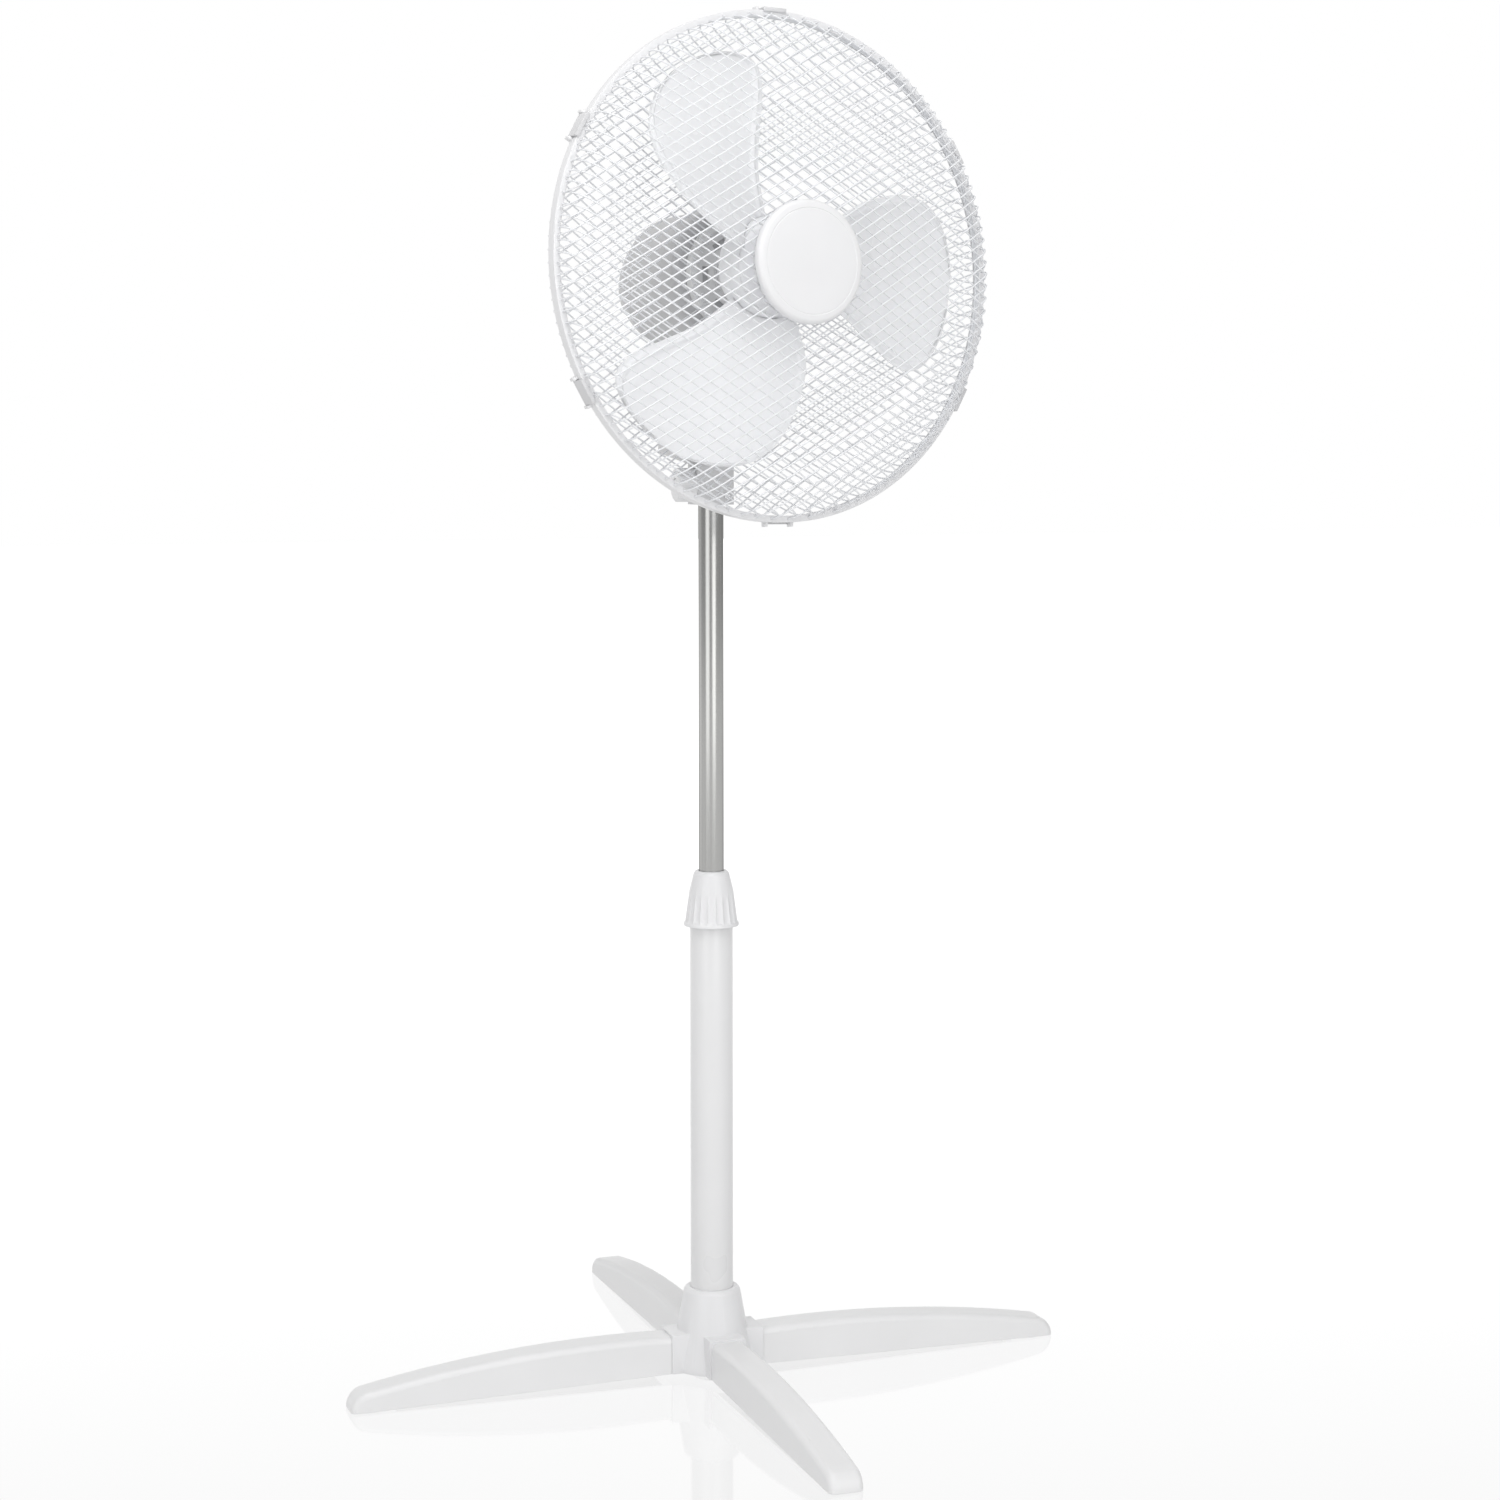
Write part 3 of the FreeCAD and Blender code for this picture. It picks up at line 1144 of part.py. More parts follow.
def blade_surface(turn):
    """One pitched, twisted blade, longer and wider than its outline."""
    sections = []
    stations = 6
    inner = float(S.blade_hub_rad) - 10
    outer = float(S.blade_rad) + 8
    for step in range(stations):
        share = step / (stations - 1)
        radius = inner + (outer - inner) * share
        pitch = math.radians(float(S.root_pitch + (S.tip_pitch - S.root_pitch) * share))
        half = 34 + 62 * share
        camber = 5 + 3 * share
        points = []
        thick = float(S.blade_thick) / 2
        for side in (-1, 1):
            row = []
            for place in (-1, -0.5, 0, 0.5, 1):
                along = half * place
                out = side * thick + camber * (1 - place ** 2) - camber / 2
                row.append((along, out))
            points += row if side < 0 else row[::-1]
        corners = []
        for along, out in points:
            y = out * math.cos(pitch) - along * math.sin(pitch)
            z = along * math.cos(pitch) + out * math.sin(pitch)
            corners.append(V(radius, y, z))
        sections.append(Part.makePolygon(corners + corners[:1]))
    slab = Part.makeLoft(sections, True, True)
    slab.rotate(V(0, 0, 0), Y_AXIS, turn)
    return slab


def blade_outline():
    """The blade seen from the front: a broad paddle with one straighter, leading edge."""
    tip = float(S.blade_rad)
    edge = [(-34, 0.17), (-33, 0.42), (-36, 0.6), (-37, 0.75), (-36, 0.87), (-31, 0.95), (-23, 0.99),
            (-12, 1.0),
            (-2, 0.995), (8, 0.965), (16, 0.91), (22, 0.83), (27, 0.72), (32, 0.58), (36, 0.42), (38, 0.17)]
    points = []
    for angle, share in edge:
        turn = math.radians(angle)
        points.append(V(tip * share * math.cos(turn), 0, tip * share * math.sin(turn)))
    rim = Part.BSplineCurve()
    rim.interpolate(points)
    close = Part.LineSegment(points[-1], points[0]).toShape()
    return Part.Face(Part.Wire([rim.toShape(), close]))


def make_blade():
    """Hub with its blades, and the spinner nut that holds it on the shaft."""
    middle = -float(S.rim_ahead) - 1
    depth = 34.0
    hub_back = middle + depth * 0.62
    hub_front = middle - depth * 0.38
    bore = float(S.shaft_rad)
    rad = float(S.blade_hub_rad)
    skin = float(S.wall)
    profile = Part.makePolygon([
        V(bore, hub_front + 1, 0), V(rad * 0.6, hub_front, 0), V(rad * 0.9, hub_front + 4, 0),
        V(rad, hub_front + 10, 0), V(rad, hub_back, 0), V(rad - skin, hub_back, 0),
        V(rad - skin, hub_front + 11, 0), V(rad * 0.86, hub_front + 4 + skin, 0),
        V(bore + 6, hub_front + skin + 2, 0),
        V(bore + 6, hub_back, 0), V(bore, hub_back, 0), V(bore, hub_front + 1, 0)])
    fan = Part.Face(profile).revolve(V(0, 0, 0), Y_AXIS, 360)
    prism = blade_outline().extrude(V(0, depth * 4, 0))
    prism.translate(V(0, -depth * 2, 0))
    core = Part.makeCylinder(rad - skin / 2, depth * 6, V(0, -depth * 3, 0), Y_AXIS)
    count = int(float(S.blade_count))
    for number in range(count):
        turn = -float(S.blade_start) - number * 360 / count
        blade = blade_surface(0).common(prism).cut(core)
        blade.translate(V(0, middle, 0))
        blade.rotate(V(0, 0, 0), Y_AXIS, turn)
        fan = fan.fuse(blade)
    solids("fan_blade", fan.removeSplitter().Solids, HEAD)
    nut_back = hub_front - float(S.fit)
    nut_front = -float(shaft_ahead) - 3
    turned("spinner_nut", [
        (0, nut_front), (7, nut_front), (12, nut_front + 4), (15, nut_back - 2), (15, nut_back),
        (S.shaft_rad + S.fit, nut_back), (S.shaft_rad + S.fit, nut_front + 3), (0, nut_front + 3)],
        HEAD, "XY_Plane")


make_blade()


# ---------------------------------------------------------------- check and write

doc.recompute()
for item in doc.Objects:
    if "Invalid" in item.State or "Error" in item.State:
        raise RuntimeError(f"{item.Label} failed: {item.State}")
for piece in sub_parts:
    if piece.Shape.isNull() or not piece.Shape.isValid() or not piece.Shape.Solids:
        raise RuntimeError(f"{piece.Label} has no valid solid")

os.makedirs("parts", exist_ok=True)
for piece in sub_parts:
    piece.Shape.exportStep(f"parts/{piece.Label}.step")
print(f"{len(sub_parts)} sub-parts, {sum(len(piece.Shape.Solids) for piece in sub_parts)} solids")
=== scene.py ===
"""Looks of the pedestal fan: wire guards, blades, mouldings, tubes, materials and the studio.

Metres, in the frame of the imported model.  Every place comes from that frame: its boxes,
its joints and its record.
"""
import json
import math

import bmesh
import bpy
from mathutils import Matrix, Vector

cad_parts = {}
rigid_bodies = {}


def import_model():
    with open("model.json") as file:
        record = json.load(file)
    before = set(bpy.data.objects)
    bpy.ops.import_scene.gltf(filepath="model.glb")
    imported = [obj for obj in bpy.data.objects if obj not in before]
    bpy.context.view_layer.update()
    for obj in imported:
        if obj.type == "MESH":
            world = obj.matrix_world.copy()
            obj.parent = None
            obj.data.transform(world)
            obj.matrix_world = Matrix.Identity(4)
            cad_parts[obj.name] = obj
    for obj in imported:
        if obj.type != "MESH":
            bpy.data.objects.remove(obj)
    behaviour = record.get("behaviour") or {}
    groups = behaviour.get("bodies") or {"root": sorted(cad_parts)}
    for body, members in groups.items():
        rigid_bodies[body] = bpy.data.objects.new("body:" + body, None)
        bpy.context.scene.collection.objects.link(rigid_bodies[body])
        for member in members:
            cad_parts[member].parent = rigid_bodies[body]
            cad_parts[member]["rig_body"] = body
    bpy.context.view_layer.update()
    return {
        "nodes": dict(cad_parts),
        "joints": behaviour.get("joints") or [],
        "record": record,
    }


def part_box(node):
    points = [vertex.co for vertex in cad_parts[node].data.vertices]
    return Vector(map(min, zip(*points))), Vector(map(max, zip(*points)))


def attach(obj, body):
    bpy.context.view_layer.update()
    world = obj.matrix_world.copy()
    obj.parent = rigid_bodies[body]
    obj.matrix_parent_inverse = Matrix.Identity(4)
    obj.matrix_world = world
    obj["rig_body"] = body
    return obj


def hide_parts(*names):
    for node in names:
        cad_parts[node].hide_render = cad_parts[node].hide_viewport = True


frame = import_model()
MM = 0.001
joints = {joint["name"]: joint for joint in frame["joints"]}
slot_of = {piece["node"]: piece["material_slot"] for piece in frame["record"]["subparts"]}

# sizes that the boxes don't give, in metres
WIRE_RAD = 0.7 * MM
WIRE_PITCH = 8.9 * MM
WIRE_SLOPE = math.radians(30.5)
LAYER_STEP = 1.52 * MM
RIM_WIRE_RAD = 2.0 * MM
SHOULDER = 24.0 * MM
DOME_GAP = 4.15 * MM
RIM_HALF = 4.6 * MM
RIM_WALL = 1.6 * MM
BLADE_HUB_RAD = 44.0 * MM
BLADE_RAD = 183.0 * MM
BLADE_START = math.radians(5)
BLADE_THICK = 2.0 * MM
ROOT_PITCH = math.radians(28)
TIP_PITCH = math.radians(10)
BLADE_PLANE_GAP = 1.0 * MM      # how far the blades' plane lies ahead of the rim's
BEAD_INSET = 6.0 * MM
BEAD_HALF = 1.8 * MM
LEADING_BEAD = 2.2 * MM
TRAILING_BEAD = 1.4 * MM
GUARD_HOLE = 43.5 * MM
RIM_LIP = 0.5 * MM
FLUTES = 20
FLUTE_DEPTH = 1.25 * MM
FLUTE_SHARE = 0.86              # how much of its width each flute's hollow takes

# the view and what the lights point at
LENS = 69.92
CAMERA_PLACE = (-0.8293, -2.4123, 0.8371)
CAMERA_DIP = math.radians(6.17)
CAMERA_TURN = math.radians(19.74)
LIGHT_AIM = (0, 0, 0.6)


# ---------------------------------------------------------------- frames of the moving pieces

def axes_matrix(origin, forward, upward):
    """A frame with -Y along `forward` and +Z near `upward`."""
    back = -Vector(forward).normalized()
    right = back.cross(Vector(upward)).normalized()
    high = right.cross(back)
    turn = Matrix((right, back, high)).transposed().to_4x4()
    return Matrix.Translation(Vector(origin)) @ turn


fan_axis = joints["blade_spin"]
HEAD = axes_matrix(fan_axis["pos_m"], fan_axis["axis"], joints["swing"]["axis"])
STAND = Matrix.Identity(4)


def span(node, place=HEAD):
    """Lowest and highest corner of a CAD node, measured in a moving frame."""
    solid = frame["nodes"][node].data
    back = place.inverted()
    points = [back @ vertex.co for vertex in solid.vertices]
    lowest = Vector(min(point[axis] for point in points) for axis in range(3))
    highest = Vector(max(point[axis] for point in points) for axis in range(3))
    return lowest, highest


def reach_of(node, place=HEAD):
    """The largest distance of a CAD node from the fan axis."""
    back = place.inverted()
    points = [back @ vertex.co for vertex in frame["nodes"][node].data.vertices]
    return max(math.hypot(point.x, point.z) for point in points)


# ---------------------------------------------------------------- node helpers

def node_group(name, kind, inputs, outputs):
    """A node group with named sockets, with its input and output nodes."""
    group = bpy.data.node_groups.new(name, kind)
    for label, socket, default in inputs:
        item = group.interface.new_socket(label, in_out="INPUT", socket_type=socket)
        if default is not None:
            item.default_value = default
    for label, socket in outputs:
        group.interface.new_socket(label, in_out="OUTPUT", socket_type=socket)
    return group, group.nodes.new("NodeGroupInput").outputs, group.nodes.new("NodeGroupOutput").inputs


def add(tree, kind, plugs=None, **options):
    """A new node with its options set and a number or a socket in each named input."""
    node = tree.nodes.new(kind)
    for option, value in options.items():
        setattr(node, option, value)
    for socket, value in (plugs or {}).items():
        if isinstance(value, bpy.types.NodeSocket):
            tree.links.new(value, node.inputs[socket])
        else:
            node.inputs[socket].default_value = value
    return node


def calc(tree, operation, *terms):
    """The result of one sum; each term is a number or a socket."""
    return add(tree, "ShaderNodeMath", dict(enumerate(terms)), operation=operation).outputs[0]


def grow(name, tree, sizes, mesh=None):
    """Runs a geometry tree with these sizes and returns its plain mesh."""
    holder = bpy.data.objects.new(name, mesh or bpy.data.meshes.new(name))
    bpy.context.scene.collection.objects.link(holder)
    modifier = holder.modifiers.new("shape", "NODES")
    modifier.node_group = tree
    for item in tree.interface.items_tree:
        if item.item_type == "SOCKET" and item.in_out == "INPUT" and item.name in sizes:
            modifier[item.identifier] = sizes[item.name]
    evaluated = holder.evaluated_get(bpy.context.evaluated_depsgraph_get())
    grown = bpy.data.meshes.new_from_object(evaluated)
    bpy.data.objects.remove(holder)
    return grown


# ---------------------------------------------------------------- surface groups

def moulded_face_group():
    """Fine mould grain, edges lightened partly by rubbed wear and partly as a painted edge highlight, and a
    little dust on a moulded or painted face.
    """
    group, given, out = node_group("moulded_face", "ShaderNodeTree", [
        ("Colour", "NodeSocketColor", (0.8, 0.8, 0.8, 1)), ("Gloss", "NodeSocketFloat", 0.35),
        ("Grain", "NodeSocketFloat", 900.0), ("Depth", "NodeSocketFloat", 0.1),
        ("Edge", "NodeSocketFloat", 0.0005), ("Edge Wear And Highlight", "NodeSocketFloat", 0.3), ("Dust", "NodeSocketFloat", 0.1)],
        [("Colour", "NodeSocketColor"), ("Roughness", "NodeSocketFloat"), ("Normal", "NodeSocketVector")])
    place = add(group, "ShaderNodeTexCoord").outputs["Object"]
    grain = add(group, "ShaderNodeTexNoise", {"Vector": place, "Scale": given["Grain"], "Detail": 2.0})
    cloud = add(group, "ShaderNodeTexNoise", {"Vector": place, "Scale": 14.0, "Detail": 3.0})
    speck = add(group, "ShaderNodeTexNoise", {"Vector": place, "Scale": 160.0, "Detail": 5.0, "Roughness": 0.7})
    eased_edge = add(group, "ShaderNodeBevel", {"Radius": given["Edge"]}, samples=4)
    face = add(group, "ShaderNodeNewGeometry").outputs["Normal"]
    facing = add(group, "ShaderNodeVectorMath", {0: eased_edge.outputs[0], 1: face}, operation="DOT_PRODUCT")
    # Edge mask from the eased-edge normal: it lightens edges partly as rubbed wear and partly as a painted edge
    # highlight.
    rubbed_sheen = calc(group, "MULTIPLY", calc(group, "SUBTRACT", 1.0, facing.outputs["Value"]), given["Edge Wear And Highlight"])
    rubbed_sheen = calc(group, "MINIMUM", calc(group, "MULTIPLY", rubbed_sheen, 4.0), 1.0)
    rise = add(group, "ShaderNodeSeparateXYZ", {0: face}).outputs["Z"]
    lying = calc(group, "MULTIPLY", calc(group, "MAXIMUM", rise, 0.0), speck.outputs["Fac"])
    dusty = calc(group, "MULTIPLY", lying, given["Dust"])
    shade = add(group, "ShaderNodeMapRange", {"Value": cloud.outputs["Fac"], "To Min": 0.95, "To Max": 1.03})
    clouded = add(group, "ShaderNodeVectorMath", {0: given["Colour"], "Scale": shade.outputs[0]},
                  operation="SCALE").outputs[0]
    # Painted edge highlight, partly rubbed wear: near-white mixed into the colour along the edges.
    lit = add(group, "ShaderNodeMix", {"Factor": rubbed_sheen, 6: clouded, 7: (0.95, 0.955, 0.96, 1)}, data_type="RGBA")
    grey = add(group, "ShaderNodeMix", {"Factor": dusty, 6: lit.outputs[2], 7: (0.62, 0.61, 0.58, 1)},
               data_type="RGBA")
    patchy = calc(group, "MULTIPLY", calc(group, "SUBTRACT", cloud.outputs["Fac"], 0.5), 0.16)
    gloss = calc(group, "ADD", calc(group, "ADD", given["Gloss"], patchy), calc(group, "MULTIPLY", dusty, 0.6))
    bump = add(group, "ShaderNodeBump", {"Strength": given["Depth"], "Distance": 0.0002,
                                         "Height": grain.outputs["Fac"], "Normal": eased_edge.outputs[0]})
    group.links.new(grey.outputs[2], out["Colour"])
    group.links.new(gloss, out["Roughness"])
    group.links.new(bump.outputs[0], out["Normal"])
    return group


def drawn_metal_group():
    """Long fine scratches along Z and a cloudy polish, for drawn and turned metal."""
    group, given, out = node_group("drawn_metal", "ShaderNodeTree", [
        ("Colour", "NodeSocketColor", (0.5, 0.5, 0.5, 1)), ("Gloss", "NodeSocketFloat", 0.25),
        ("Streaks", "NodeSocketFloat", 900.0), ("Length", "NodeSocketFloat", 0.02),
        ("Depth", "NodeSocketFloat", 0.1)],
        [("Colour", "NodeSocketColor"), ("Roughness", "NodeSocketFloat"), ("Normal", "NodeSocketVector")])
    place = add(group, "ShaderNodeTexCoord").outputs["Object"]
    stretch = add(group, "ShaderNodeCombineXYZ", {"X": 1.0, "Y": 1.0, "Z": given["Length"]}).outputs[0]
    drawn = add(group, "ShaderNodeVectorMath", {0: place, 1: stretch}, operation="MULTIPLY").outputs[0]
    streak = add(group, "ShaderNodeTexNoise", {"Vector": drawn, "Scale": given["Streaks"], "Detail": 4.0})
    cloud = add(group, "ShaderNodeTexNoise", {"Vector": place, "Scale": 22.0, "Detail": 3.0})
    shade = add(group, "ShaderNodeMapRange", {"Value": streak.outputs["Fac"], "To Min": 0.86, "To Max": 1.1})
    tinted = add(group, "ShaderNodeVectorMath", {0: given["Colour"], "Scale": shade.outputs[0]},
                 operation="SCALE")
    rubbed_sheen = calc(group, "MULTIPLY", calc(group, "SUBTRACT", cloud.outputs["Fac"], 0.5), 0.08)
    scored = calc(group, "MULTIPLY", calc(group, "SUBTRACT", streak.outputs["Fac"], 0.5), 0.12)
    gloss = calc(group, "ADD", given["Gloss"], calc(group, "ADD", rubbed_sheen, scored))
    bump = add(group, "ShaderNodeBump", {"Strength": given["Depth"], "Distance": 0.0001,
                                         "Height": streak.outputs["Fac"]})
    group.links.new(tinted.outputs[0], out["Colour"])
    group.links.new(gloss, out["Roughness"])
    group.links.new(bump.outputs[0], out["Normal"])
    return group


moulded_face = moulded_face_group()
drawn_metal = drawn_metal_group()


def finish_of(name, group, values, **sockets):
    """A material whose surface comes from one of the groups; `sockets` are set on its shader."""
    material = bpy.data.materials.new(name)
    material.use_nodes = True
    tree = material.node_tree
    shader = tree.nodes["Principled BSDF"]
    surface = add(tree, "ShaderNodeGroup", node_tree=group)
    for label, value in values.items():
        surface.inputs[label].default_value = value
    tree.links.new(surface.outputs["Colour"], shader.inputs["Base Color"])
    tree.links.new(surface.outputs["Roughness"], shader.inputs["Roughness"])
    tree.links.new(surface.outputs["Normal"], shader.inputs["Normal"])
    for label, value in sockets.items():
        shader.inputs[label.replace("_", " ")].default_value = value
    return material


# The edge wear setting drives the painted edge highlight as well as the rubbed wear.
def moulded(name, colour, gloss, grain=900.0, depth=0.1, edge_wear_and_highlight=0.2, dust=0.08, **sockets):
    return finish_of(name, moulded_face, {
        "Colour": (*colour, 1), "Gloss": gloss, "Grain": grain, "Depth": depth, "Edge Wear And Highlight": edge_wear_and_highlight, "Dust": dust},
        **sockets)


def metal(name, colour, gloss, streaks=900.0, length=0.02, depth=0.1, **sockets):
    return finish_of(name, drawn_metal, {
        "Colour": (*colour, 1), "Gloss": gloss, "Streaks": streaks, "Length": length, "Depth": depth},
        Metallic=1.0, **sockets)


FINISHES = {
    "white_plastic": moulded("satin_white_moulding", (0.80, 0.80, 0.81), 0.36, Coat_Weight=0.08),
    "inner_plastic": moulded("plain_white_moulding", (0.66, 0.67, 0.68), 0.5, dust=0.0),
    "painted_tube": moulded("white_powder_paint", (0.79, 0.79, 0.795), 0.30, grain=420.0, depth=0.06,
                            Coat_Weight=0.25),
    "coated_wire": moulded("white_wire_coating", (0.84, 0.85, 0.87), 0.3, grain=300.0, depth=0.05, edge_wear_and_highlight=0.0,
                           Coat_Weight=0.2),
    "brushed_tube": metal("brushed_chrome_tube", (0.48, 0.48, 0.47), 0.24, length=0.002,
                          Specular_Tint=(0.4, 0.4, 0.4, 1)),
    "pad_rubber": moulded("grey_foot_rubber", (0.16, 0.16, 0.17), 0.75, grain=500.0, depth=0.3, edge_wear_and_highlight=0.1),
    "blade_plastic": moulded("milky_blade_moulding", (0.9, 0.905, 0.93), 0.26, depth=0.03, edge_wear_and_highlight=0.0, dust=0.0,
                             Subsurface_Weight=0.75, Subsurface_Scale=0.006, Subsurface_Radius=(1, 1, 1)),
    "bright_steel": metal("zinc_plated_steel", (0.62, 0.62, 0.63), 0.28, length=1.0),
    "cast_metal": metal("sand_cast_alloy", (0.42, 0.42, 0.43), 0.5, streaks=300.0, length=1.0, depth=0.5),
    "lamination": metal("stacked_core_plates", (0.3, 0.3, 0.31), 0.45, streaks=700.0, length=1.0),
    "winding_wire": metal("varnished_copper", (0.6, 0.28, 0.13), 0.35, streaks=1200.0, length=1.0, depth=0.3),
    "bearing_brass": metal("sintered_brass", (0.62, 0.47, 0.25), 0.4, streaks=600.0, length=1.0),
}


# Painted shade: the motor housing's white plastic darkened to grey, for the shade it sits in behind the blades.
SHADED_FINISH = moulded("shade_darkened_motor_moulding", (0.54, 0.54, 0.55), 0.42)
# Painted shade: the control box, mast head and tilt bracket in white plastic darkened to grey, for the shade they
# lie in.
SHADED_BOX_FINISH = moulded("shade_darkened_box_moulding", (0.62, 0.62, 0.63), 0.4)
# Painted light: the legs' white plastic a little brighter than the hub's, for the light that falls on them.
LIT_LEG_FINISH = moulded("bright_white_moulding", (0.82, 0.82, 0.825), 0.36, Coat_Weight=0.08)
CLIP_FINISH = moulded("clip_grey_moulding", (0.66, 0.66, 0.67), 0.38)
# Painted light: the rear guard plate's white plastic brightened to lift the shade it lies in behind the blades
# and hub.
LIT_PLATE_FINISH = moulded("lit_pale_plate_moulding", (0.9, 0.9, 0.9), 0.4)
# Per-node finishes: shaded and lit copies of the white plastic (painted shade and painted light), and the clips'
# grey moulding.
SHADED_LIT_AND_OWN_FINISH = {"motor_housing_front": SHADED_FINISH, "motor_housing_rear": SHADED_FINISH,
              "box_front": SHADED_BOX_FINISH, "box_rear": SHADED_BOX_FINISH, "mast_head": SHADED_BOX_FINISH,
              "tilt_bracket": SHADED_BOX_FINISH, "rear_guard_plate": LIT_PLATE_FINISH}
SHADED_LIT_AND_OWN_FINISH.update({node: LIT_LEG_FINISH for node in slot_of if node.startswith("leg_") and "pad" not in node})
SHADED_LIT_AND_OWN_FINISH.update({node: CLIP_FINISH for node in slot_of if node.startswith("rim_clip_")})


def finish_for(node):
    return SHADED_LIT_AND_OWN_FINISH.get(node, FINISHES[slot_of[node]])


# ---------------------------------------------------------------- making and placing pieces

def placed(name, mesh, place, node, also=(), sharp=32):
    """Puts a mesh where `place` says, in a CAD node's finish and on its body, for that node."""
    mesh.name = name
    mesh.transform(place)
    mesh.materials.clear()
    mesh.materials.append(finish_for(node))
    mesh.shade_smooth()
    mesh.set_sharp_from_angle(angle=math.radians(sharp))
    piece = bpy.data.objects.new(name, mesh)
    bpy.context.scene.collection.objects.link(piece)
    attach(piece, frame["nodes"][node]["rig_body"])
    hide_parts(node, *also)
    return piece


def mesh_from(points, faces, name="piece"):
    """A closed mesh with its doubles merged and its faces turned outwards."""
    mesh = bpy.data.meshes.new(name)
    mesh.from_pydata(points, [], faces)
    work = bmesh.new()
    work.from_mesh(mesh)
    bmesh.ops.remove_doubles(work, verts=work.verts, dist=1e-6)
    bmesh.ops.recalc_face_normals(work, faces=work.faces)
    work.to_mesh(mesh)
    work.free()
    return mesh


def eased(outline, steps=5):
    """The outline with each corner given as (x, y, ease) rounded off."""
    points = []
    for number, (x, y, *ease) in enumerate(outline):
        here = Vector((x, y))
        if not ease:
            points.append(here)
            continue
        before = Vector(outline[number - 1][:2])
        after = Vector(outline[(number + 1) % len(outline)][:2])
        start = here + (before - here).normalized() * ease[0]
        end = here + (after - here).normalized() * ease[0]
        for step in range(steps + 1):
            share = step / steps
            points.append(start.lerp(here, share).lerp(here.lerp(end, share), share))
    return points


def lathed(outline, axis="Y", steps=144):
    """A closed outline of (radius, height) points turned round Y or Z."""
    points = []
    for radius, height in outline:
        for step in range(steps):
            turn = math.tau * step / steps
            across, up = radius * math.cos(turn), radius * math.sin(turn)
            points.append((across, height, up) if axis == "Y" else (across, up, height))
    faces = []
    rings = len(outline)
    for ring in range(rings):
        after = (ring + 1) % rings
        for step in range(steps):
            beyond = (step + 1) % steps
            faces.append((ring * steps + step, ring * steps + beyond,
                          after * steps + beyond, after * steps + step))
    return mesh_from(points, faces)


def with_modifier(mesh, kind, **options):
    """The mesh after one modifier."""
    holder = bpy.data.objects.new("holder", mesh)
    bpy.context.scene.collection.objects.link(holder)
    modifier = holder.modifiers.new("finish", kind)
    for option, value in options.items():
        setattr(modifier, option, value)
    evaluated = holder.evaluated_get(bpy.context.evaluated_depsgraph_get())
    result = bpy.data.meshes.new_from_object(evaluated)
    bpy.data.objects.remove(holder)
    return result


def bevelled(mesh, width, segments=3, angle=30):
    return with_modifier(mesh, "BEVEL", width=width, segments=segments, limit_method="ANGLE",
                         angle_limit=math.radians(angle))


def joined(meshes, name="piece"):
    """Several meshes as one."""
    work = bmesh.new()
    for mesh in meshes:
        work.from_mesh(mesh)
    result = bpy.data.meshes.new(name)
    work.to_mesh(result)
    work.free()
    return result


# ---------------------------------------------------------------- geometry trees

